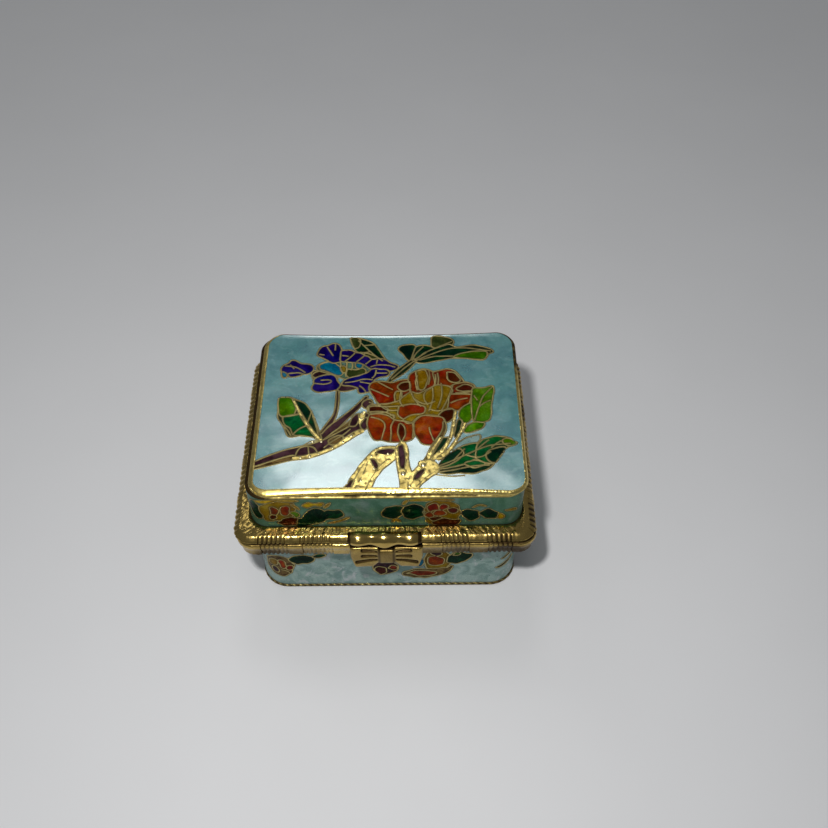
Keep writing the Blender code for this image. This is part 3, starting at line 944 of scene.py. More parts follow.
# %% The orange flower
lid.cell("orange", "-2.9,-2.3 -1.2,-1.8 0.6,-2.2 1.8,-3.4 3.4,-3.6 5.0,-4.4 5.4,-6.6 5.0,-8.2 3.0,-8.7 "
         "0.4,-8.7 -0.4,-8.2 -1.9,-8.3 -2.7,-6.4 -3.2,-4.4", 0.3)
lid.cell("orange", "-3.0,4.3 -2.7,5.5 -1.2,6.0 0.2,5.7 1.4,5.4 2.6,6.1 4.2,6.4 5.0,5.0 4.6,3.2 3.4,1.6 "
         "1.8,0.2 0.0,-0.2 -1.4,0.6 -1.9,2.0 -2.7,3.2", 0.3)
lid.cell("orange", "4.3,5.6 4.5,7.5 5.8,8.5 6.8,9.0 8.0,8.9 8.9,8.2 9.7,6.4 9.6,4.4 8.0,3.4 6.6,2.0 "
         "5.0,2.2 4.6,4.0", 0.3)
lid.cell("orange", "8.9,8.2 10.2,8.5 11.4,9.0 12.8,8.7 13.6,7.6 14.7,5.6 13.6,4.4 11.6,4.6 9.4,4.8 "
         "9.3,6.4", 0.3)
lid.cell("orange", "12.2,4.6 13.6,5.2 15.0,5.5 16.5,5.0 16.7,3.4 15.6,2.4 13.4,2.2 12.0,2.6", 0.3)
lid.cell("orange", "11.4,2.6 13.4,2.5 15.9,2.4 15.4,0.4 14.6,-0.8 13.0,-1.4 11.4,-0.8 11.0,0.8", 0.3)
lid.cell("maroon", "9.4,-3.2 9.8,-1.4 12.4,-0.9 12.9,-2.4 11.7,-4.0 10.2,-4.4", 0.3)
lid.cell("amber", "-3.2,-0.1 -1.4,0.1 0.4,0.2 1.8,0.6 3.2,1.8 4.7,3.2 6.2,2.6 7.6,3.6 9.6,4.9 11.6,4.7 "
         "12.6,3.6 11.6,2.0 11.4,-0.8 10.2,-1.6 9.4,-2.9 7.8,-2.6 6.2,-3.0 5.2,-4.4 3.4,-3.7 1.8,-3.5 "
         "0.6,-2.3 -1.2,-1.8 -3.0,-2.2", 0.3)
lid.cell("orange", "5.3,-4.4 6.2,-3.0 7.8,-2.5 9.4,-2.8 10.7,-3.4 10.7,-6.0 9.9,-7.8 8.4,-9.4 6.8,-9.3 "
         "5.4,-7.0", 0.3)
lid.cell("amber", "2.0,3.6 3.0,3.3 2.9,1.6 1.9,0.7 1.8,2.2", 0.2)
lid.cell("maroon", "2.1,4.5 3.2,5.6 4.5,5.7 4.6,4.0 3.4,3.3", 0.2)
lid.cell("amber", "5.8,8.4 7.5,8.9 7.9,6.6 7.2,3.9 6.3,3.6 6.1,6.2", 0.1)
lid.cell("maroon", "11.7,8.2 12.9,8.0 14.2,6.0 13.2,5.5 11.8,6.0", 0.2)
lid.cell("maroon", "13.0,3.8 14.6,5.0 16.2,4.6 16.4,3.6 14.6,3.3", 0.2)
lid.cell("orange", "2.7,-0.3 4.9,0.2 7.4,-0.5 7.1,-2.1 4.8,-2.2 3.4,-3.3 2.3,-2.4", 0.2)
lid.cell("maroon", "-2.9,-0.4 -1.6,-0.2 0.4,-0.6 0.6,-1.6 -1.2,-1.7 -2.8,-1.9", 0.2)
lid.cell("maroon", "2.7,-4.2 3.5,-5.2 3.6,-7.2 3.0,-8.7 2.4,-6.4", 0.1)
lid.line("-2.8,4.1 -1.2,3.2 0.7,2.1", "-1.4,5.8 0.2,4.6 1.4,3.8", "6.0,3.6 5.5,5.6 6.0,7.4",
         "8.2,8.6 8.4,6.6 8.0,5.0", "9.8,8.0 10.0,6.4 9.8,5.0", "13.0,2.9 14.6,2.9 16.2,3.2",
         "12.0,0.4 13.4,1.2 15.2,1.6", "4.5,5.9 4.6,3.6 5.4,1.2 6.6,-0.4",
         "9.4,7.6 9.5,5.8 9.0,4.4 7.4,3.6 7.0,1.6 7.8,0.0",
         "12.6,5.0 12.2,3.4 11.6,1.6 11.0,0.0 10.2,-1.6", "10.4,5.4 10.6,3.0 10.2,0.8 9.6,-0.8",
         "8.8,4.2 8.9,2.0 8.6,0.4 8.0,-1.6", "5.2,1.7 6.4,0.4 8.0,0.1 9.2,0.9",
         "-3.0,0.8 -1.2,-0.2 0.8,-0.4 2.4,-0.2", "-2.8,-1.6 -1.0,-1.4 0.6,-1.8 1.8,-3.0",
         "-1.6,0.9 -0.4,-0.8 1.0,-1.4 2.4,-1.2", "3.0,3.4 2.6,1.8 2.8,0.2 3.4,-0.4")
lid.line("0.9,-2.4 1.6,-2.2 2.0,-2.8 1.6,-3.4 1.0,-3.2 0.8,-2.6", bend=0.3)
lid.line("3.2,-3.6 4.0,-4.6 5.0,-4.4 5.6,-3.2 7.0,-2.4 8.8,-2.8 9.8,-2.8",
         "-2.6,-2.8 -0.8,-3.3 0.2,-4.6 -0.2,-6.4 -0.6,-8.2", "1.7,-3.6 1.0,-5.0 1.2,-6.8 1.0,-8.7",
         "5.0,-7.8 5.2,-6.0 5.0,-4.6", "8.0,-5.4 8.2,-6.8 8.8,-8.6",
         "8.0,-1.0 9.4,-1.6 10.4,-1.4 12.2,-1.0")

print("cells so far:", len(lid.cells))

# %% The right-hand leaves
lid.cell("leaf_green", "14.2,-0.6 16.0,0.4 15.9,-3.4 14.4,-4.6 13.3,-2.6", 0.35)
lid.cell("leaf_green", "16.2,4.0 18.2,4.0 20.2,4.7 20.0,2.6 19.5,1.0 19.3,-2.2 18.9,-3.8 17.5,-4.3 "
         "15.9,-4.0 16.0,0.4", 0.3)
lid.line("20.0,4.4 18.0,2.0 17.0,-1.2 16.2,-4.0", "17.2,-0.6 18.4,0.6 19.4,1.0", "17.0,1.0 16.4,2.2")
lid.cell("leaf_green", "14.0,-6.7 15.0,-5.0 16.0,-4.3 18.2,-4.4 17.6,-5.6 15.4,-6.6", 0.3)
lid.cell("dark_green", "12.4,-7.8 12.9,-5.6 13.3,-3.4 14.0,-3.9 13.6,-5.6 13.0,-7.8", 0.2)
lid.cell("dark_green", "8.0,-12.4 9.3,-10.2 9.9,-8.0 11.5,-7.7 11.1,-9.4 9.8,-11.2 8.5,-12.6", 0.35)
lid.cell("mist", "11.9,-11.0 12.8,-9.2 14.6,-7.9 17.2,-7.1 16.8,-8.8 15.0,-9.4 13.2,-10.3", 0.2)
lid.cell("dark_green", "8.8,-15.3 10.4,-14.8 12.4,-14.3 14.4,-13.6 16.0,-12.6 17.6,-13.6 19.3,-13.7 "
         "18.0,-14.9 15.6,-15.8 12.7,-15.7 10.4,-15.9", 0.2)
lid.cell("emerald", "9.3,-14.4 10.2,-12.8 11.4,-11.5 13.2,-10.2 15.0,-9.4 16.4,-9.1 16.7,-10.8 "
         "16.0,-12.5 14.4,-13.5 12.4,-14.2 10.6,-14.6", 0.3)
lid.cell("dark_green", "9.3,-14.4 10.2,-12.8 11.4,-11.5 13.2,-10.2 14.1,-11.3 12.8,-12.9 11.2,-13.9", 0.1)
lid.cell("emerald", "16.2,-11.6 16.6,-9.6 17.6,-8.3 19.9,-7.5 22.2,-8.0 23.6,-9.2 21.6,-10.0 20.6,-11.6 "
         "19.4,-13.6 17.6,-13.5 16.2,-12.5", 0.3)
lid.cell("dark_green", "17.8,-11.8 18.9,-10.6 20.2,-10.2 21.6,-10.0 20.6,-11.6 19.4,-13.6 18.2,-12.9",
         0.1)
lid.cell("leaf_green", "20.9,-8.4 22.2,-8.0 23.6,-9.2 22.2,-9.7 21.2,-9.3", 0.1)
lid.cell("emerald", "14.0,-13.6 16.1,-12.9 17.9,-13.8 15.6,-14.6")
lid.line("8.6,-14.6 11.6,-13.2 14.4,-11.7 16.4,-10.6 18.6,-9.6 22.4,-9.2",
         "8.8,-15.6 12.4,-15.0 15.4,-14.2 18.4,-14.0", "9.0,-16.1 11.6,-16.5 14.0,-16.3",
         "14.4,-11.7 16.0,-12.4 17.4,-12.2 18.8,-11.0", "16.4,-10.6 17.4,-9.4 18.6,-8.4",
         "12.2,-13.0 13.0,-11.8 14.2,-10.4", "18.9,-10.2 19.8,-9.2 20.8,-8.6")
print("cells so far:", len(lid.cells))

# %% The gilt trunks
lid.stroke("gilt", "12.9,-1.4,0.3 12.4,-4.6,0.45 11.9,-7.6,0.45 10.6,-10.4,0.55 8.2,-12.9,0.8")
lid.stroke("gilt", "14.6,-4.4,0.3 13.7,-6.4,0.4 12.4,-9.2,0.45 11.0,-11.3,0.6 9.2,-12.8,0.8")
lid.stroke("umber", "10.7,-3.9,0.4 10.9,-5.6,0.7 10.2,-7.4,0.8 8.9,-9.6,1.0 7.8,-12.0,0.9")
lid.stroke("gilt", "10.2,-7.6,0.3 8.9,-9.6,0.5 7.8,-12.0,0.7 7.2,-13.2,0.8")

lid.cell("gilt", "-2.5,-11.4 -1.4,-10.3 0.2,-9.8 2.1,-9.8 2.3,-11.8 1.2,-13.2 -0.4,-14.8 -1.6,-16.8 "
         "-2.6,-19.4 -7.2,-19.4 -6.4,-18.2 -5.5,-16.3 -3.9,-13.5", 0.15)
lid.cell("plum", "-1.7,-11.1 -0.6,-10.4 1.0,-10.2 2.0,-10.5 1.2,-11.5 -0.2,-11.5", 0.1)
lid.cell("plum", "-2.5,-12.3 -1.7,-12.5 -1.0,-14.2 -1.4,-15.0 -2.0,-13.8")
lid.cell("plum", "-6.7,-18.7 -5.6,-16.7 -5.0,-17.2 -6.0,-19.1")
lid.cell("plum", "-5.2,-19.2 -4.7,-18.1 -3.8,-18.8 -3.6,-19.3")
lid.line("-2.9,-13.0 -3.4,-15.2 -4.4,-17.6", "0.8,-12.4 -0.8,-14.0 -2.2,-16.6 -3.2,-19.2",
         "-3.6,-13.6 -4.8,-16.0 -5.6,-18.4")
lid.cell("gilt", "2.0,-10.0 2.3,-14.0 2.7,-16.4 3.0,-19.4 5.4,-19.4 6.3,-18.1 8.0,-16.4 9.4,-15.5 "
         "9.6,-14.4 8.6,-13.1 7.4,-12.8 6.6,-13.5 5.6,-14.7 4.8,-15.8 4.4,-15.0 4.2,-13.0 3.9,-9.6 "
         "3.2,-8.6", 0.15)
lid.cell("plum", "2.4,-9.7 3.2,-9.1 3.7,-12.2 3.5,-14.9 2.8,-14.6 2.6,-12.4", 0.1)
lid.cell("plum", "4.9,-17.3 5.7,-15.4 7.2,-14.6 6.6,-16.0 5.4,-17.3")
lid.line("4.1,-19.2 4.1,-17.2 4.7,-15.9", "5.6,-18.6 7.2,-16.6 8.8,-15.4")
lid.cell("gilt", "6.1,-13.2 6.8,-13.0 7.4,-13.6 7.2,-14.5 6.5,-14.6 6.1,-14.0", 0.3)
print("cells on the lid:", len(lid.cells), "single wires:", len(lid.lines))

# %% [markdown]
# ## Lay the picture on the top plate
# The plate is a touch domed and uneven, which is what makes its shine wander. A gilt border runs round
# it. The border is wide in front and narrow behind, so the enamel's field is the plate's outline drawn
# in by an amount that changes along the way.

# %% The plate's surface and its border
plate_outline = rounded_loop((PLATE_WIDTH, drum_size[1]), LID_CORNER, plate_x, waist=LID_WAIST)
drawn_in = rounded_loop((PLATE_WIDTH - 2, drum_size[1] - 2), LID_CORNER - 1, plate_x, waist=LID_WAIST)
plate_normal = plate_outline - drawn_in
plate_normal /= np.linalg.norm(plate_normal, axis=1)[:, None]
THIN_BORDER = 0.14
LEFT_END = 0.94
END_SHARE = 0.06


def in_front(y):
    """0 at the back edge of the lid, 1 at its front edge."""
    return np.clip(0.5 - (y - middle_y) / drum_size[1], 0, 1)


def border_width(x, y):
    """Width of the gilt border on the top plate: wide in front, a thin line behind."""
    left = np.clip(0.5 - (x - plate_x) / PLATE_WIDTH, 0, 1)
    on_left = np.clip((left - LEFT_END) / END_SHARE, 0, 1)
    on_right = np.clip((END_SHARE - left) / END_SHARE, 0, 1)
    wide = np.interp(x, (-18, -6, 6, 20), (1.0, 0.95, 0.62, 0.36))
    return THIN_BORDER + np.maximum(wide * in_front(y) ** 10, np.maximum(0.56 * on_left, 0.3 * on_right))


width_there = border_width(plate_outline[:, 0], plate_outline[:, 1])
field = plate_outline - plate_normal * width_there[:, None]
print("border from", round(width_there.min(), 2), "to", round(width_there.max(), 2), "mm wide")
PLATE_SINK = 0.06
DOME_HALF = (24.2, 19.7)


def on_plate(u, v, h):
    """Carry the flat picture onto the gently domed plate, which climbs to a lip at the back."""
    share = (1 - ((u - plate_x) / DOME_HALF[0]) ** 2) * (1 - ((v - middle_y) / DOME_HALF[1]) ** 2)
    swell = 0.1 * np.clip(share, 0, 1) ** 0.7
    waves = 0.05 * uneven(np.stack([u * 0.09, v * 0.11], 1), 1.0, 5.0)
    waist = LID_WAIST * np.clip(1 - ((u - plate_x) / (PLATE_WIDTH / 2)) ** 2, 0, 1)
    before_edge = np.maximum(0, middle_y + drum_size[1] / 2 - waist - 0.2 - v)
    climb = 0.07 * np.exp(-before_edge / 0.3)
    return np.stack([u, v, top_z - PLATE_SINK + swell + climb + waves + h], 1)


lay_picture("lid_plate", field, lid, on_plate, "turquoise", 0.5, 0.3, "lid", ("lid_shell",), 11)

# %% [markdown]
# ## Solder beads
# Where wires meet, a little solder stands up in a bead. A bead is polished by every wipe of a cloth, so
# it glints like a star. Each is a shallow dome: part of a ball whose rest is sunk in the plate.

# %% Beads of solder on the plate
BEADS = ((3.3, -15.8, 0.52), (6.8, -13.9, 0.52), (0.6, -11.4, 0.26), (-2.3, -11.9, 0.26),
         (-4.0, -17.2, 0.28), (-1.8, -14.6, 0.26), (4.4, -18.4, 0.28), (-14.8, -12.1, 0.28),
         (-13.2, -11.8, 0.34), (-11.6, -11.2, 0.24), (-9.2, -10.0, 0.24), (-7.4, -8.6, 0.28),
         (-6.0, -7.2, 0.34), (-4.3, -3.2, 0.26), (-4.0, -1.9, 0.22), (-12.9, -8.4, 0.28),
         (-11.3, -8.5, 0.24), (12.5, -3.8, 0.2), (11.7, -8.0, 0.22), (12.7, -8.6, 0.22))
BEAD_BALL = 1.25
BEAD_SINK = 0.75
BEAD_AROUND = 16


def make_beads():
    """Little domes of solder, given as (x, y, radius) on the plate."""
    angles = 2 * math.pi * np.arange(BEAD_AROUND) / BEAD_AROUND
    circle = np.column_stack([np.cos(angles), np.sin(angles)])
    section = [(1.0, -0.3)]
    for tilt in (53, 46, 38, 30, 22, 14, 6):
        t = math.radians(tilt)
        section.append((BEAD_BALL * math.sin(t), BEAD_BALL * math.cos(t) - BEAD_SINK))
    domes = []
    for x, y, radius in BEADS:
        base = on_plate(np.array([x]), np.array([y]), np.zeros(1))[0, 2]
        domes.append(skin([at_height((x, y) + radius * reach * circle, base + radius * up)
                           for reach, up in section]))
    points, faces = join(domes)
    add_piece("lid_plate_beads", points, faces, bead_gilt, "lid",
              values={"grime_and_shade": np.zeros(len(points))})


make_beads()
print("beads:", len(BEADS))

# %% [markdown]
# ## The gilt border
# The plate's edge is a cast gilt frame. In front it is wide and slopes forward, over a groove painted dark
# as shade, and it is rougher on the right; towards the back and the left it is painted darker as shade. The
# frame is skinned between closed loops: those near the enamel follow the plate, those below blend into the
# outline of the lid's wall. The last two go under the enamel again, so the frame is a closed ring.

# %% The gilt border
FINER = 8


def finer(loop):
    """The same loop with more points between its points."""
    count = len(loop)
    return between(np.arange(count * FINER) / FINER, np.arange(count + 1), np.vstack([loop, loop[:1]]))


drum_outline = finer(rounded_loop(drum_size, LID_CORNER, body_x))
rim_outline = finer(plate_outline)
rim_normal = finer(plate_normal)
rim_width = finer(width_there[:, None])[:, 0]


def grit(points, scale, amount):
    """Rough casting: a little height for each point."""
    return np.array([amount * noise.noise((p[0] * scale, p[1] * scale, p[2] * scale)) for p in points])


BORDER_TILT = 0.42
# The last number of each row is its painted shade: the outer lip, the groove and the skirt are dark.
FLAT_FACE = ((1.1, -0.25, 0.9), (1.01, 0.0, 0.7), (0.93, 0.04, 0.2), (0.75, 0.06, 0.0), (0.55, 0.06, 0.0),
             (0.35, 0.06, 0.0), (0.18, 0.04, 0.0), (0.06, -0.02, 0.0))
GROOVE = ((0.0, -0.1, -0.38, 0.0), (0.0, -0.2, -0.5, 0.0), (0.0, -0.2, -0.62, 0.3), (0.0, -0.06, -0.7, 0.8),
          (0.0, 0.12, -0.72, 1.0))
SKIRT = ((0.2, 0.14, -0.8, 1.0), (0.6, 0.04, -0.86, 0.8), (0.9, 0.0, -0.96, 0.6), (1.0, -0.03, -1.14, 0.7),
         (1.0, 0.1, -1.2, 1.0), (1.0, 1.0, -0.9, 1.0))


def border_loops():
    """A flat gilt face, a groove under its front edge and a skirt down to the lid's wall."""
    inner_edge = rim_outline - rim_normal * rim_width[:, None]
    edge = on_plate(*inner_edge.T, np.zeros(len(rim_width)))[:, 2]
    loops = []
    for share, up, _ in FLAT_FACE:
        slope = BORDER_TILT * rim_width * (1 - share) * np.clip(rim_width / 0.6, 0, 1)
        loops.append(at_height(rim_outline - rim_normal * (rim_width * share)[:, None], edge + up - slope))
    for blend, inset, up, _ in GROOVE + SKIRT:
        flat = rim_outline * (1 - blend) + drum_outline * blend
        loops.append(at_height(flat - rim_normal * inset, top_z + up))
    return loops


def make_border():
    """The border as one closed ring, rough in front, with painted shade towards the back and the left."""
    points, faces = skin(border_loops(), closed=True)
    marks = np.repeat([row[-1] for row in FLAT_FACE + GROOVE + SKIRT], len(rim_outline))
    front = in_front(points[:, 1])
    on_left = np.clip((plate_x - 20.0 - points[:, 0]) / 2.0, 0, 1)
    coarse = np.clip(0.5 + points[:, 0] / 12.0, 0.25, 1.0) * front ** 4
    points[:, 2] += coarse * grit(points, 2.6, 0.06) * (marks < 0.6)
    # Painted shade towards the back and along the left side.
    darker = 0.42 * on_left + 0.9 * np.clip(1.4 - 2 * front, 0, 1) ** 2 * (1 - on_left)
    marks = np.clip(marks + darker + grit(points, 1.1, 0.25), 0, 1)
    add_piece("lid_border", points, turned(faces), leaf_gilt, "lid", values={"grime_and_shade": marks})


make_border()

# %% [markdown]
# ## Flowers round the walls
# The walls carry looser sprays: blossoms of five petals, pairs of leaves and thin twigs. They are drawn
# on a flat strip and wrapped round the box. Along the strip, zero is the middle of the front; up the
# strip is height above the table. The front has its own arrangement, drawn cell by cell, and the sides
# and the back repeat one spray, turned and coloured in turn.

# %% Motifs for the walls
PETAL = ((-0.5, 0.45), (-0.62, 0.8), (-0.3, 1.0), (0.0, 0.93), (0.3, 1.0), (0.62, 0.8), (0.5, 0.45))
LEAF = ((0.0, 0.0), (0.25, 0.42), (0.55, 0.5), (0.82, 0.26), (1.0, 0.0), (0.8, -0.3), (0.5, -0.5),
        (0.2, -0.36))


def blossom(drawing, u, v, radius, colour, turn):
    """A round blossom of five petals with a heart."""
    for k in range(5):
        angle = math.radians(turn + 72 * k)
        petal = []
        for aside, far in PETAL:
            side = angle + aside * 0.95
            petal.append((u + radius * far * math.cos(side), v + radius * far * math.sin(side)))
        drawing.cells.append((colour, bent(np.array(petal), 0.25 * radius)))
    heart = [(u + 0.42 * radius * math.cos(t), v + 0.42 * radius * math.sin(t))
             for t in np.linspace(0, 2 * math.pi, 9)[:-1]]
    drawing.cells.append(("amber", bent(np.array(heart), 0.3 * radius)))


def leaf(drawing, u, v, angle, length, width):
    """A pointed leaf from its base, with a vein."""
    turn = math.radians(angle)
    along = np.array([math.cos(turn), math.sin(turn)])
    across = np.array([-along[1], along[0]])
    base = np.array([u, v])
    outline = np.array([base + along * length * a + across * width * b for a, b in LEAF])
    drawing.cells.append(("dark_green", bent(outline, 0.3 * width)))
    vein = [base - along * 0.6, base + along * 0.55 * length + across * 0.05 * width,
            base + along * 0.96 * length]
    drawing.lines.append(bent(np.array(vein), 0.4, closed=False))


def spray(drawing, u, v, size, flip, kind):
    """A blossom with two pairs of leaves and a twig; kind 1 is blue, and each kind is turned a little."""
    side = -1 if flip else 1
    twig = [(u + along * size * side, v + up * size, width)
            for along, up, width in ((-4.6, -0.9, 0.3), (-1.0, -1.1, 0.5), (4.2, 0.5, 0.3))]
    drawing.cells.append(("plum", stroke_outline(np.array(twig), 1.0)))
    for shift, lean, long in ((-4.4, 160, 2.9), (-2.6, 215, 2.6), (2.4, 20, 3.0), (3.6, -38, 2.6)):
        angle = lean if side > 0 else 180 - lean
        leaf(drawing, u + shift * size * side, v - 0.2 * size, angle, long * size, 1.5 * size)
    colour = "cobalt" if kind == 1 else "orange"
    blossom(drawing, u, v + 0.2 * size, 2.1 * size, colour, 18 + 11 * kind)


# %% Drawing for the lid's wall
LID_WALL_LOW = lid_ring_low[2] + 0.3
LID_WALL_HIGH = top_z - 1.1
lid_place, lid_round = wrap(rounded_loop(drum_size, LID_CORNER, body_x), lambda v: np.zeros_like(v))

drum = Drawing(0.75)
drum.stroke("honey", "-22.8,27.2,0.6 -21.0,27.6,1.0 -19.0,27.4,1.3 -17.2,27.8,0.9 -14.8,27.7,0.4")
drum.cell("dark_green", "-24.4,25.6 -23.4,26.9 -22.2,26.6 -21.5,24.6 -21.6,22.6 -22.6,22.0 -23.8,23.4",
          0.5)
drum.cell("amber", "-21.6,26.0 -20.4,27.2 -18.4,27.4 -16.0,27.2 -15.8,25.4 -16.2,23.6 -17.0,22.6 "
          "-19.0,21.9 -21.0,22.0 -21.5,24.0", 0.6)
drum.cell("orange", "-20.4,25.6 -19.2,26.2 -18.6,25.4 -18.7,24.0 -19.4,23.5 -20.2,23.9", 0.4)
drum.cell("orange", "-18.2,25.6 -17.2,26.4 -16.5,25.8 -16.8,24.2 -17.6,23.2 -18.4,23.8", 0.4)
drum.cell("maroon", "-20.6,23.1 -19.6,23.5 -19.2,22.6 -20.2,22.1", 0.3)
drum.cell("leaf_green", "-16.5,24.5 -15.4,24.4 -14.9,23.2 -16.0,22.7", 0.3)
drum.cell("dark_green", "-16.0,20.2 -15.6,22.2 -14.6,23.0 -13.8,24.7 -12.4,25.4 -11.2,25.2 -10.7,24.2 "
          "-9.8,25.2 -8.0,24.9 -7.3,23.8 -7.7,22.7 -9.0,22.2 -10.3,22.3 -11.4,21.3 -13.2,20.8 -14.6,19.9",
          0.4)
drum.cell("maroon", "-19.2,21.0 -17.9,22.3 -16.7,22.9 -15.8,22.4 -15.6,21.0 -16.4,20.4 -18.6,20.3", 0.4)
drum.cell("honey", "-14.2,26.4 -13.4,27.2 -12.2,26.9 -11.2,27.3 -10.4,26.6 -11.6,26.0 -12.8,26.2 "
          "-13.6,25.8", 0.2)
drum.stroke("honey", "-10.6,25.5,0.4 -10.0,26.4,0.8 -9.4,27.2,0.3")
drum.stroke("honey", "-16.4,26.9,0.3 -15.6,26.0,0.7 -14.9,25.0,0.3")
drum.stroke("honey", "-6.4,22.8,0.4 -7.6,21.9,0.6 -8.8,21.3,0.6 -10.4,20.9,0.3")
drum.cell("dark_green", "-0.6,24.2 0.0,25.6 1.6,26.0 3.0,25.6 3.2,24.0 2.4,22.6 0.8,22.2 -0.4,22.8", 0.5)
drum.cell("dark_green", "3.2,24.0 3.4,25.8 4.9,26.5 6.3,26.3 6.7,24.4 6.3,22.7 5.0,22.0 3.5,22.2", 0.5)
drum.stroke("honey", "3.0,26.2,0.4 3.4,27.1,0.8 4.0,27.8,0.4")
drum.stroke("honey", "2.6,21.2,0.5 1.7,22.1,0.9 1.0,21.1,0.4")
drum.stroke("honey", "4.0,27.5,0.5 6.0,27.8,0.9 9.0,27.7,0.8 12.0,27.6,0.4")
drum.cell("amber", "6.9,25.6 7.4,27.0 9.2,27.5 11.6,26.8 12.8,25.2 13.0,22.6 12.8,20.4 7.6,20.2 7.0,22.0 "
          "6.7,24.0", 0.6)
drum.cell("orange", "7.2,25.6 8.0,26.7 9.1,26.3 9.1,24.9 7.8,24.5", 0.4)
drum.cell("orange", "9.4,26.2 10.4,26.6 11.2,25.6 10.4,24.9 9.4,25.0", 0.35)
drum.cell("orange", "6.9,24.0 7.8,24.2 8.2,23.2 7.6,22.4 6.9,22.7", 0.3)
drum.cell("orange", "8.4,24.5 10.0,24.6 10.6,23.6 9.4,22.9 8.4,23.3", 0.35)
drum.cell("maroon", "10.9,25.0 12.0,25.2 12.6,24.2 12.2,23.4 11.0,23.8", 0.3)
drum.cell("maroon", "7.9,22.3 9.3,22.7 9.8,21.9 9.2,21.3 7.9,21.3", 0.3)
drum.cell("maroon", "7.8,21.1 10.2,22.0 12.9,21.4 13.2,20.3 8.2,20.2", 0.4)
drum.cell("dark_green", "13.3,23.6 13.8,24.9 15.0,24.9 16.1,23.8 16.4,22.2 15.6,21.4 14.4,21.7 13.5,22.6",
          0.5)
drum.cell("dark_green", "16.2,23.2 16.8,24.5 18.2,24.8 19.6,24.0 19.9,22.8 19.0,21.8 17.6,22.2", 0.45)
drum.cell("honey", "19.8,23.6 20.6,23.8 21.0,22.6 20.5,21.6 19.9,22.2", 0.3)
drum.stroke("honey", "15.2,25.2,0.4 16.2,26.3,0.5 17.6,25.6,0.4")
drum.stroke("honey", "20.8,24.3,0.4 22.4,24.5,0.8 23.2,23.6,0.3")
for count, (u, flip, kind) in enumerate(((35.0, False, 1), (50.5, True, 0), (71.0, False, 2),
                                         (-71.0, True, 1), (-35.0, True, 2), (-50.5, False, 0))):
    spray(drum, u, 23.9 + 0.3 * math.sin(count), 1.15, flip, kind)
print("cells on the lid's wall:", len(drum.cells))


# %% Lay it round the lid
def strip(total, low, high):
    """The outline of a wall laid out flat, from the middle of the back round to it again."""
    half = total / 2
    spots = np.arange(-half, half, SPACING)
    tops = [(u, high) for u in spots[::-1]]
    lows = [(u, low) for u in spots]
    rise = np.arange(low + SPACING, high - 0.1, SPACING)
    right = [(half, v) for v in (low, *rise, high)]
    left = [(-half, v) for v in rise[::-1]]
    return np.array([*lows, *right, *tops, *left])


lid_strip = strip(lid_round, LID_WALL_LOW, LID_WALL_HIGH)
lay_picture("lid_wall", lid_strip, drum, lid_place, "sea", 0.55, 0.15, "lid", (), 12)

# %% [markdown]
# ## Flowers on the body
# The body's enamel is paler than the lid's, and its sprays are larger and fewer. The wall turns in a
# little at the foot, so the rule that wraps the drawing round it has an inset that grows downwards.

# %% Drawing for the body's wall
BODY_WALL_LOW = 0.45
BODY_WALL_HIGH = ring_high[2] - 0.3
FOOT_TURN = 1.4


def foot_inset(v):
    """How far the wall draws in near the foot."""
    return 0.45 * np.clip(1 - v / FOOT_TURN, 0, 1) ** 2


body_place, body_round = wrap(rounded_loop(body_size, BODY_CORNER, body_x), foot_inset)

pot = Drawing(0.6)
pot.cell("umber", "-23.0,8.8 -21.6,10.2 -19.6,10.6 -18.2,9.4 -17.4,7.2 -18.4,5.0 -20.2,3.8 -22.2,4.6 "
         "-23.2,6.6", 0.7)
pot.cell("amber", "-22.4,8.4 -21.2,9.4 -20.5,8.6 -21.0,7.2 -22.2,7.2", 0.3)
pot.cell("orange", "-20.2,9.4 -19.4,9.5 -19.1,8.0 -19.4,6.4 -20.1,6.6 -20.3,8.0", 0.3)
pot.cell("orange", "-18.9,7.6 -17.9,7.6 -17.5,6.4 -18.6,5.8 -19.0,6.6", 0.3)
pot.cell("plum", "-21.9,6.4 -20.8,6.6 -20.4,5.4 -21.2,4.7 -22.1,5.4", 0.3)
pot.line("-20.2,5.9 -19.2,5.8 -18.6,5.0")
pot.cell("dark_green", "-18.4,9.6 -17.6,10.5 -15.8,10.9 -14.0,10.5 -13.4,9.5 -14.8,8.4 -16.6,7.9 "
         "-18.0,8.5", 0.5)
pot.cell("dark_green", "-14.2,10.2 -12.6,11.4 -11.2,11.2 -12.4,10.0", 0.3)
pot.cell("plum", "-2.8,6.8 -1.8,8.4 -0.2,8.8 1.4,8.2 2.0,6.6 1.2,5.2 0.0,4.2 -1.6,4.4 -2.6,5.4", 0.7)
pot.cell("maroon", "-2.5,6.3 -1.2,6.9 -0.3,6.0 -0.3,4.6 -1.5,4.4 -2.4,5.3", 0.3)
pot.cell("orange", "0.1,6.4 0.9,7.4 1.7,6.6 1.1,5.5", 0.2)
pot.cell("cyan", "5.2,8.2 6.2,9.5 7.0,9.0 6.8,7.2 5.6,6.8", 0.3)
pot.cell("amber", "6.9,9.4 7.4,11.6 9.0,12.4 10.8,11.6 11.6,9.4 11.2,6.8 9.6,5.6 7.4,6.0 6.7,7.4", 0.7)
pot.cell("orange", "7.5,9.7 9.0,10.1 10.4,9.4 10.5,7.7 9.0,6.9 7.5,7.6", 0.4)
pot.cell("plum", "7.8,11.4 9.0,11.9 10.2,11.2 9.8,10.5 8.2,10.6", 0.3)
pot.cell("umber", "2.6,4.4 4.2,5.6 6.4,6.0 9.0,5.8 11.0,6.2 12.2,7.2 11.6,5.0 9.4,3.4 6.4,2.8 4.0,3.2",
         0.5)
pot.cell("orange", "3.4,4.5 5.0,5.2 7.4,5.0 9.4,4.6 8.0,3.6 5.6,3.5", 0.4)
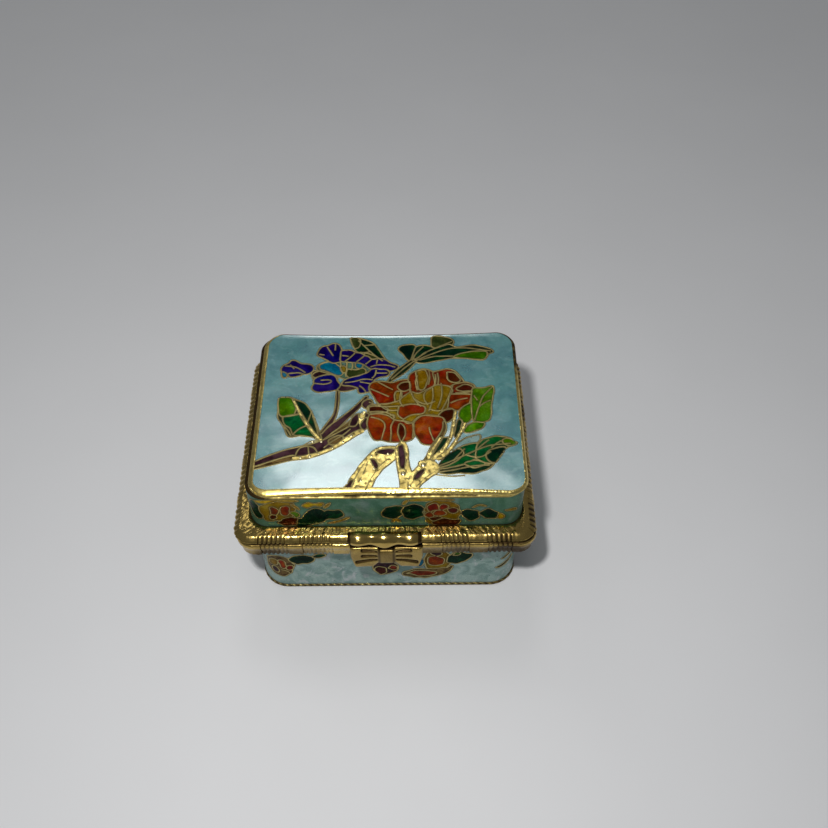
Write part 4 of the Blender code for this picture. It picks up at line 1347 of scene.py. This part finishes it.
pot.cell("dark_green", "10.9,8.4 11.4,10.2 12.6,11.8 14.0,11.2 15.6,11.4 15.4,9.6 14.0,8.4 12.4,7.6", 0.4)
pot.cell("leaf_green", "11.8,10.4 12.6,11.6 13.4,11.0 12.8,10.2", 0.25)
pot.stroke("dark_green", "20.2,5.8,0.5 22.2,6.4,1.0 24.2,7.6,0.5")
pot.stroke("dark_green", "21.2,8.4,0.4 23.0,9.0,0.9 24.6,10.2,0.4")
for u, flip, kind in ((34.5, False, 0), (49.5, True, 1), (71.5, True, 2), (-71.5, False, 0), (-34.5, True, 1),
                      (-49.5, False, 2)):
    spray(pot, u, 7.6 + 0.5 * math.cos(u), 1.32, flip, kind)
print("cells on the body's wall:", len(pot.cells))

# %% Lay it round the body
body_strip = strip(body_round, BODY_WALL_LOW, BODY_WALL_HIGH)
lay_picture("body_wall", body_strip, pot, body_place, "mist", 0.6, 0.2, "base", ("body_shell",), 13)

# %% [markdown]
# ## Inside and underneath
# Enamel pulls as it cools, so a thin copper box is enamelled inside as well, with a plain speckled
# counter enamel. Each lining is a closed shell with the true wall thickness and softly rounded inner
# corners. It lies behind the enamel cells, and the body's underside is part of it.

# %% Linings
FAR_FROM_WIRES = 3.0
INNER_CORNER = 1.1
turns = [math.radians(90 * k / 5) for k in range(6)]


def make_lining(name, outer, inner, body, flip):
    """A closed shell between outer rows and inner rows, each listed from the mouth on."""
    points, faces = skin(list(reversed(outer)) + inner)
    add_piece(name, points, turned(faces) if flip else faces, enamels["counter_enamel"], body,
              values={"wire_gap": np.full(len(points), FAR_FROM_WIRES)}, sharp=50)


def body_row(inset, z):
    """The body's outline drawn in by an inset, at a height."""
    return at_height(rounded_loop(body_size, BODY_CORNER, body_x, inset), z)


def drum_row(inset, z):
    """The lid's outline drawn in by an inset, at a height."""
    return at_height(rounded_loop(drum_size, LID_CORNER, body_x, inset), z)


# %% The body's lining
mouth = body_high[2] - 0.12
outer = [body_row(0.28, mouth), body_row(0.28, 1.4), body_row(0.45, 0.6), body_row(0.75, 0.3),
         body_row(1.6, 0.25)]
inner = [body_row(WALL, mouth)]
inner += [body_row(WALL + INNER_CORNER * (1 - math.cos(t)), WALL + INNER_CORNER * (1 - math.sin(t)))
          for t in turns]
inner.append(body_row(WALL + 3.4, WALL))
make_lining("body_lining", outer, inner, "base", False)

# %% The lid's lining
mouth = lid_low[2] + 0.12
ceiling = top_z - WALL
outer = [drum_row(0.28, mouth), drum_row(0.28, top_z - 1.3), drum_row(0.8, top_z - 0.55),
         drum_row(1.4, top_z - 0.42)]
inner = [drum_row(WALL, mouth)]
inner += [drum_row(WALL + INNER_CORNER * (1 - math.cos(t)), ceiling - INNER_CORNER * (1 - math.sin(t)))
          for t in turns]
inner.append(drum_row(WALL + 2.3, ceiling))
make_lining("lid_lining", outer, inner, "lid", True)

# %% [markdown]
# ## The foot wire
# A twisted wire is soldered round the foot. The box stands on it. It is a round section swept along the
# body's outline, with a shallow spiral cut into it.

# %% Foot wire
FOOT_RADIUS = 0.34
FOOT_SINK = 0.18
FOOT_AROUND = 10
FOOT_TWIST = 2.4


def make_foot_wire():
    """A round wire of two twisted strands along the body's outline, sunk a little into the wall."""
    centre, normal, along = evenly(rounded_loop(body_size, BODY_CORNER, body_x), 1100)
    centre = centre - normal * FOOT_SINK
    loops = []
    marks = []
    for k in range(FOOT_AROUND):
        angle = 2 * math.pi * k / FOOT_AROUND
        strand = np.cos(2 * (angle + along * FOOT_TWIST))
        radius = FOOT_RADIUS * (0.93 + 0.07 * strand)
        out = normal * (radius * math.cos(angle))[:, None]
        loops.append(at_height(centre + out, FOOT_RADIUS + radius * math.sin(angle)))
        marks.append(0.72 - 0.2 * strand)
    points, faces = skin(loops, closed=True)
    add_piece("body_foot_wire", points, faces, wire_gilt, "base",
              values={"grime_and_shade": np.concatenate(marks)})


make_foot_wire()

# %% [markdown]
# ## The ribbed rings
# Both brass rings were cast with groups of narrow upright ribs between smooth panels. The section is
# swept round the outline with very short steps, and each point is pushed in by how deep the groove is
# there. Real relief catches the light along its crests, which a bump map would not do at the outline.

# %% Ribs along the rings
RIB_PITCH = 0.8
SIDE_PITCH = 1.2
RIB_DEPTH = 0.2
RING_STATIONS = 2400
ring_size = (ring_high[0] - ring_low[0], ring_high[1] - ring_low[1])
FRONT_GROUPS = ((-22.4, -17.6), (-15.0, -9.6), (10.0, 14.8), (18.2, 22.4))
SIDE_GROUPS = tuple((middle - 3.6, middle + 3.6) for middle in (-17.4, -8.7, 0.0, 8.7, 17.4))


def rib_depth(points, centre_x):
    """0 on smooth panels and rib crests, 1 in the grooves, for points (x, y) on a ring."""
    x = points[:, 0] - centre_x
    y = points[:, 1] - middle_y
    on_side = np.abs(x) > ring_size[0] / 2 - 1.6
    along = np.where(on_side, y, x)
    depth = np.zeros(len(points))
    for mine, groups, pitch in ((on_side, SIDE_GROUPS, SIDE_PITCH), (~on_side, FRONT_GROUPS, RIB_PITCH)):
        for low, high in groups:
            count = round((high - low) / pitch)
            share = (along - low) / (high - low)
            groove = (1 - np.abs(np.sin(math.pi * count * share))) ** 0.8
            depth = np.where(mine & (share >= 0) & (share <= 1), np.maximum(groove, 0.12), depth)
    return depth


# %% A ring from its section
def make_ring(name, centre_x, section, ledge, wall, inner, body, node, least_darkening):
    """A ring from its outer section, with a ledge over to the wall, and inner rows inside the wall.

    The section holds (inset, z, rib, lift, painted_shade), the ledge (share of the way over, z,
    painted_shade), the wall its size and corner, and the inner rows (inset, z). The painted shade darkens
    the seams, the ring's underside and the ledge beside the wall; least_darkening is the least a point gets,
    and the grooves between ribs are darker still.
    """
    place, normal, _ = evenly(rounded_loop(ring_size, RING_CORNER, centre_x), RING_STATIONS)
    normal /= np.linalg.norm(normal, axis=1)[:, None]
    depth = rib_depth(place, centre_x)
    # Random worn patches, and painted shade that grows towards the right, the side away from the lamp.
    wear_and_right_shade = 0.55 * uneven(place, 0.16, 3.0 + centre_x) + 0.009 * place[:, 0]
    loops = []
    marks = []
    for inset, z, ribbed, lift, painted_shade in section:
        cast = grit(np.column_stack([place, np.full(len(place), z)]), 2.0, 0.06)
        cut = inset + RIB_DEPTH * depth * ribbed + cast
        loops.append(at_height(place - normal * cut[:, None], z + lift * depth))
        # Painted shade from the section over random wear, with the grooves between ribs darker.
        marks.append(np.clip(np.maximum(painted_shade + wear_and_right_shade, least_darkening + wear_and_right_shade + 0.7 * depth * ribbed), 0, 1))
    rows = []
    for inset, z in inner:
        row, _, _ = evenly(rounded_loop(*wall, body_x, inset), RING_STATIONS)
        rows.append(at_height(row, z))
    for share, z, painted_shade in ledge:
        row = loops[len(section) - 1] * (1 - share) + rows[0] * share
        row[:, 2] = z
        pits = grit(row, 1.9, 1.0)
        row[:, 2] += 0.09 * pits * (1 - painted_shade)
        loops.append(row)
        marks.append(np.clip(0.8 * painted_shade + 0.05 - 0.4 * pits, 0, 1))
    loops += rows
    # The inner rows, against the wall, are painted dark as shade.
    marks += [np.full(len(place), 0.85)] * len(rows)
    points, faces = skin(loops, closed=True)
    add_piece(name, points, faces, brass, body, (node,), {"grime_and_shade": np.concatenate(marks)})


# %% The body's ring
ring_top = ring_high[2]
ring_foot = ring_low[2]
tall = ring_top - ring_foot
# Painted shade in each row's last number: darkest under the ring and down its lower part, clean on the lip,
# and dark again at the top, in the seam under the lid's ring.
lower_section = [(0.95, ring_foot + 0.1, 0.0, 0.2, 1.0), (0.8, ring_foot, 0.4, 0.3, 0.9),
                 (0.64, ring_foot + 0.14, 1.0, 0.3, 0.8)]
for inset, share, painted_shade in ((0.56, 0.25, 0.75), (0.48, 0.38, 0.7), (0.36, 0.49, 0.65), (0.16, 0.57, 0.6),
                           (0.03, 0.66, 0.55), (0.0, 0.76, 0.45)):
    lower_section.append((inset, ring_foot + share * tall, 1.0, 0.0, painted_shade))
for inset, down, rib, painted_shade in ((0.02, 0.74, 1.0, 0.2), (0.1, 0.58, 1.0, 0.0), (0.22, 0.48, 0.8, 0.6),
                               (0.34, 0.42, 0.4, 0.9), (0.52, 0.3, 0.2, 1.0), (0.74, 0.0, 0.0, 1.0)):
    lower_section.append((inset, ring_top - down, rib, 0.0, painted_shade))
lower_inner = [(WALL, ring_top), (WALL + 0.04, ring_top - 0.25), (0.2, ring_top - 0.3),
               (-0.02, ring_foot + 0.4)]
make_ring("body_ring", body_x, lower_section, (), (body_size, BODY_CORNER), lower_inner, "base",
          "body_bezel", 0.0)

# %% The lid's ring
lid_ring_x = (lid_ring_low[0] + lid_ring_high[0]) / 2
ring_base = lid_ring_low[2]
crest = lid_ring_high[2]
upper_section = []
# Painted shade in each row's last number: dark at the foot, in the seam over the body's ring.
for inset, up, rib, painted_shade in ((0.6, 0.0, 0.0, 1.0), (0.32, 0.02, 0.2, 1.0), (0.12, 0.08, 0.7, 0.8),
                             (0.0, 0.2, 1.0, 0.2), (0.04, 0.32, 1.0, 0.0), (0.3, 0.54, 1.0, 0.0),
                             (0.58, 0.78, 1.0, 0.0), (0.84, 0.97, 0.9, 0.0), (1.0, 1.05, 0.7, 0.0),
                             (1.16, 1.09, 0.3, 0.0)):
    upper_section.append((inset, ring_base + up, rib, 0.0, painted_shade))
ledge = []
# Painted shade on the ledge, darkest beside the lid's wall.
for share, up, painted_shade in ((0.1, 1.12, 0.0), (0.2, 1.15, 0.0), (0.3, 1.19, 0.0), (0.4, 1.23, 0.0),
                        (0.5, 1.27, 0.0), (0.6, 1.3, 0.0), (0.7, 1.33, 0.1), (0.8, 1.33, 0.4),
                        (0.91, 1.26, 0.9)):
    ledge.append((share, ring_base + up, painted_shade))
upper_inner = [(-0.02, crest - 0.2), (0.2, ring_base + 0.3), (WALL + 0.04, ring_base + 0.25),
               (WALL, ring_base)]
make_ring("lid_ring", lid_ring_x, upper_section, ledge, (drum_size, LID_CORNER), upper_inner, "lid",
          "lid_bezel", 0.15)

# %% [markdown]
# ## The bow clasp
# The clasp is a small bow, cast in two halves: a bar with three swellings on the lid's ring, and the
# knot with two pleated tails on the body's ring. Each half is skinned over many stations along its
# length. The pleats are grooves pressed into the tails that fan out from the knot.

# %% Pleats
bow_x = (bow_low[0] + bow_high[0]) / 2
bow_half = (bow_high[0] - bow_low[0]) / 2
KNOT_HALF = 1.25
PLEAT_END = 5.8
# Each pleat: its height at the knot, its height at the tip of the tail, and how far out it reaches.
PLEATS = ((17.5, 17.9, 4.7), (16.2, 16.05, 4.7), (15.1, 14.2, 5.8))


def smooth_step(value, low, high):
    """A soft climb from 0 to 1 while the value goes from low to high."""
    share = np.clip((value - low) / (high - low), 0, 1)
    return share * share * (3 - 2 * share)


def sine_spread(half, count):
    """Numbers from -half to half that crowd towards both ends, where a shape turns most."""
    return half * np.sin(np.linspace(-1, 1, count) * math.pi / 2)


def pleat_depth(out, z):
    """0 on the tail's face and 1 at the bottom of a pleat, at a distance out from the knot's middle."""
    share = np.clip((out - KNOT_HALF) / (PLEAT_END - KNOT_HALF), 0, 1)
    width = 0.17 + 0.2 * share
    starts = smooth_step(out, KNOT_HALF + 0.2, KNOT_HALF + 0.9)
    deepest = np.zeros(len(z))
    for near_z, far_z, reach in PLEATS:
        ends = starts * (1 - smooth_step(out, reach - 0.5, reach))
        centre = near_z + (far_z - near_z) * share
        deepest = np.maximum(deepest, ends * np.exp(-((z - centre) / width) ** 2))
    return deepest


# %% The bow's lower half
def make_bow_tails():
    """Knot and two boxy tails with pleats that fan out from the knot."""
    back = ring_low[1] + 0.3
    deepest = back - bow_low[1]
    loops = []
    marks = []
    face = sine_spread(1.0, 96)
    for x in sine_spread(bow_half, 181):
        out = abs(x)
        knot = 1 - smooth_step(out, KNOT_HALF - 0.2, KNOT_HALF + 0.35)
        tip = math.sqrt(max(0.0, 1 - (out / bow_half) ** 16))
        proud = deepest * (knot + (0.84 + 0.05 * math.cos(out)) * (1 - knot)) * (0.4 + 0.6 * tip)
        high = bow_high[2] - 0.45 * knot - 0.35 * (1 - tip)
        under_knot = 1.55 * (1 - smooth_step(out, KNOT_HALF, 2.8))
        under_tip = 2.9 * smooth_step(out, 5.4, bow_half) ** 1.4
        low = bow_low[2] + under_knot + under_tip
        middle = (high + low) / 2
        z = middle + (high - low) / 2 * face
        groove = pleat_depth(out, z)
        y = back - proud * (1 - np.abs(face) ** 7) ** (1 / 7) + 0.6 * groove
        here = np.full(len(z) + 1, x + bow_x)
        loops.append(np.column_stack([here, np.append(y, back), np.append(z, middle)]))
        # Painted shade in the pleats, in the crease beside the knot and along the top and bottom edges; the
        # whole tail is made darker too.
        crease = 0.25 * math.exp(-((out - KNOT_HALF - 0.1) / 0.25) ** 2)
        edge = 0.5 * (np.abs(face) > 0.985)
        marks.append(np.append(np.clip(0.56 + 1.6 * groove + crease + edge + 0.12 * knot, 0, 1), 1.0))
    points, faces = skin(loops)
    add_piece("bow_tails", points, turned(faces), brass, "base", ("clasp_lower",),
              {"grime_and_shade": np.concatenate(marks)}, sharp=60)


make_bow_tails()

# %% The bow's upper bar
bar_x = (bar_low[0] + bar_high[0]) / 2
bar_half = (bar_high[0] - bar_low[0]) / 2


def closed_smooth(points, rounds=3):
    """Cut the corners of a closed section until it is round."""
    for _ in range(rounds):
        ahead = np.roll(points, -1, 0)
        points = np.stack([0.75 * points + 0.25 * ahead, 0.25 * points + 0.75 * ahead], 1).reshape(-1, 2)
    return points


def make_bow_bar():
    """Bar with three swellings that lies over the edge of the lid's ring."""
    loops = []
    marks = []
    front_y = ring_low[1]
    for x in sine_spread(bar_half, 151):
        reach = abs(x) / bar_half
        tip = math.sqrt(max(0.0, 1 - reach ** 9))
        swell = 0.55 + 0.45 * abs(math.cos(math.pi * reach / 0.72)) ** 1.8
        full = swell * (0.35 + 0.65 * tip)
        foot = bar_low[2] + 0.1 - 0.65 * math.exp(-(x / 2.0) ** 2)
        front = front_y - 1.0 * full
        top = crest + 0.1 + 0.72 * full
        section = [(front_y + 0.1, foot + 0.2), (front_y - 0.15, foot - 0.05), (front - 0.1, foot + 0.1),
                   (front - 0.14, foot + 0.8), (front + 0.2, top - 0.5), (front_y + 0.25, top + 0.12),
                   (front_y + 1.2, top + 0.05), (front_y + 1.65, crest - 0.2), (front_y + 0.9, crest - 0.5)]
        ring = closed_smooth(np.array(section))
        loops.append(np.column_stack([np.full(len(ring), x + bar_x), ring]))
        # Painted shade between the swellings and at the ends of the bar.
        painted_shade = 1.15 - 1.35 * swell + 1.2 * smooth_step(reach, 0.84, 0.97)
        marks.append(np.full(len(ring), np.clip(painted_shade, 0, 1)))
    points, faces = skin(loops)
    add_piece("bow_bar", points, faces, brass, "lid", ("clasp_upper",),
              {"grime_and_shade": np.concatenate(marks)}, sharp=60)


make_bow_bar()

# %% [markdown]
# ## The hinge
# Three short barrels on a pin, at the middle of the back. Each barrel has a flat leaf, soldered to its
# ring. The barrels are skinned from their end view, which goes round the outside, over the chamfered
# end, back through the bore and out again, so each is one closed ring.

# %% Barrels
HINGE_AROUND = 48
BARREL_RADIUS = 1.1
BEHIND_RING = 0.3
BORE = 0.7
LEAF_THICK = 0.7
LEAF_CORNERS = 5


def make_barrel(node, body):
    """A hinge barrel with its leaf and bore, on the place of its CAD node; the lid's leaf points up."""
    low, high = span(node)
    axis_y = ring_high[1] + BEHIND_RING + BARREL_RADIUS
    side = 1 if body == "lid" else -1
    leaf_end = high[2] if body == "lid" else low[2]
    inner_y = axis_y - BARREL_RADIUS
    outer_y = inner_y + LEAF_THICK
    sweep = math.pi + math.acos((outer_y - axis_y) / BARREL_RADIUS)
    arc_steps = HINGE_AROUND - LEAF_CORNERS - 1

    def outline(x, shrink):
        """The barrel and its leaf seen from the end, at a station x and drawn in by shrink."""
        rows = []
        for step in range(arc_steps + 1):
            angle = side * (sweep * step / arc_steps - math.pi)
            r = BARREL_RADIUS - shrink
            rows.append((x, axis_y + r * math.cos(angle), seam_z + r * math.sin(angle)))
        rows.append((x, outer_y - shrink, leaf_end - side * 0.15))
        rows.append((x, outer_y - shrink - 0.12, leaf_end - side * shrink))
        rows.append((x, inner_y - 0.12, leaf_end - side * shrink))
        rows.append((x, inner_y - 0.32, leaf_end - side * 0.2))
        rows.append((x, inner_y - 0.32, seam_z + side * 0.3))
        return np.array(rows)

    def bore(x):
        """The round hole for the pin, with a point for each point of the outline."""
        loop = outline(x, 0.0)
        away = loop[:, 1:] - (axis_y, seam_z)
        away /= np.linalg.norm(away, axis=1)[:, None]
        return np.column_stack([loop[:, 0], (axis_y, seam_z) + away * BORE])

    first, last = low[0], high[0]
    loops = [outline(first + 0.12, 0.0), outline(last - 0.12, 0.0), outline(last, 0.1), bore(last),
             bore(first), outline(first, 0.1)]
    points, faces = skin(loops, closed=True)
    # Painted shade on the chamfered ends and in the bore.
    marks = np.repeat([0.15, 0.15, 0.5, 1.0, 1.0, 0.5], HINGE_AROUND)
    add_piece(node + "_barrel", points, turned(faces) if side > 0 else faces, brass, body,
              (node,), {"grime_and_shade": marks}, sharp=35)


make_barrel("hinge_knuckle_left", "base")
make_barrel("hinge_knuckle_right", "base")
make_barrel("hinge_knuckle_lid", "lid")

# %% The pin
PIN_AROUND = 24
PIN_END = ((-0.1, 0.1), (-0.08, 0.3), (0.0, 0.52), (0.1, 0.6))


def make_pin():
    """A round pin with domed ends, on the place of its CAD node."""
    low, high = span("hinge_pin")
    axis_y = (low[1] + high[1]) / 2
    angle = np.linspace(0, 2 * math.pi, PIN_AROUND, endpoint=False)
    stations = [(low[0] + along, radius) for along, radius in PIN_END]
    stations += [(high[0] - along, radius) for along, radius in reversed(PIN_END)]
    loops = [np.column_stack([np.full(PIN_AROUND, x), axis_y + radius * np.cos(angle),
                              seam_z + radius * np.sin(angle)]) for x, radius in stations]
    points, faces = skin(loops)
    add_piece("hinge_pin_rod", points, faces, brass, "base", ("hinge_pin",),
              {"grime_and_shade": np.full(len(points), 0.3)})


make_pin()
print("pieces:", len(made), "triangles in all:", sum(made.values()))

# %% [markdown]
# ## Floor and lights
# The box stands on a pale sheet with a faint gloss. A small soft lamp hangs close by, in front
# and to the left: so near, it lights the front of the floor more than the back, and throws a short
# shadow to the right. Three glowing cards hang farther away, behind and above. The glossy lid mirrors
# them: a bright one in its front half, a fainter one from the left and a narrow one from the right.
# A dim, slightly blue world fills the shadows.

# %% Floor
FLOOR_HALF = 2000


def make_floor():
    """A large pale sheet with a faint gloss."""
    mesh = bpy.data.meshes.new("floor")
    far = FLOOR_HALF * MM
    mesh.from_pydata([(-far, -far, 0), (far, -far, 0), (far, far, 0), (-far, far, 0)], [], [(0, 1, 2, 3)])
    floor = bpy.data.objects.new("floor", mesh)
    bpy.context.scene.collection.objects.link(floor)
    material, tree, shader = new_material("pale_sheet")
    cloud = add_noise(tree, add_millimetres(tree), 0.02, 3.0)
    sheet = add_mix(tree, cloud, (0.76, 0.76, 0.765), (0.82, 0.82, 0.825))
    tree.links.new(sheet, shader.inputs["Base Color"])
    shader.inputs["Roughness"].default_value = 0.5
    shader.inputs["Specular IOR Level"].default_value = 0.25
    mesh.materials.append(material)


make_floor()

# %% Lights
target = Vector((0.0, 0.0, 0.015))


def add_area(name, place, size, radiance, shape="DISK"):
    """A soft lamp at a place, in millimetres, that looks at the box; its power comes from its brightness."""
    light = bpy.data.lights.new(name, "AREA")
    light.shape = shape
    light.size = size[0] * MM
    if shape == "RECTANGLE":
        light.size_y = size[1] * MM
    area = size[0] * size[1] * MM * MM * (math.pi / 4 if shape == "DISK" else 1.0)
    light.energy = radiance * area * math.pi
    lamp = bpy.data.objects.new(name, light)
    bpy.context.scene.collection.objects.link(lamp)
    lamp.location = Vector(place) * MM
    lamp.rotation_euler = (lamp.location - target).to_track_quat("Z", "Y").to_euler()
    print(name, "watts:", round(light.energy, 3))


def towards(azimuth, elevation, distance):
    """A place seen from the box, with azimuth 0 straight behind it and positive to the right."""
    a, e = math.radians(azimuth), math.radians(elevation)
    return [distance * math.sin(a) * math.cos(e), distance * math.cos(a) * math.cos(e),
            distance * math.sin(e)]


add_area("key_light", (-21, -98, 206), (14, 14), 565.0)
add_area("lid_card", towards(-5, 59, 800), (185, 190), 3.1, "RECTANGLE")
add_area("left_card", towards(-33, 45, 800), (200, 240), 1.6, "RECTANGLE")
add_area("side_card", towards(11, 60, 800), (55, 150), 1.3, "RECTANGLE")

world = bpy.data.worlds.new("room")
world.use_nodes = True
background = world.node_tree.nodes["Background"]
background.inputs["Color"].default_value = (0.93, 0.96, 1.0, 1.0)
background.inputs["Strength"].default_value = 0.15
bpy.context.scene.world = world
bpy.context.scene.view_settings.view_transform = "Standard"

# %% [markdown]
# ## Camera
# The camera looks down at the box from in front, as a person does who has just put it on the table. It
# stands close, so the top narrows towards the back. Its half degree of roll is that of a held camera.

# %% Camera
CAMERA_PLACE = (5.27, -121.05, 167.6)
LOOKS_DOWN = 49.3
ROLL = -0.55
camera = bpy.data.cameras.new("camera")
camera.sensor_width = 36.0
camera.lens = 43.478
camera.clip_start = 0.005
camera.clip_end = 10.0
viewpoint = bpy.data.objects.new("camera", camera)
bpy.context.scene.collection.objects.link(viewpoint)
viewpoint.location = [side * MM for side in CAMERA_PLACE]
tilt = Matrix.Rotation(math.radians(90 - LOOKS_DOWN), 4, "X")
roll = Matrix.Rotation(math.radians(ROLL), 4, "Z")
viewpoint.rotation_euler = (tilt @ roll).to_euler()
bpy.context.scene.camera = viewpoint
print("camera at", CAMERA_PLACE, "mm, looking", LOOKS_DOWN, "degrees down")
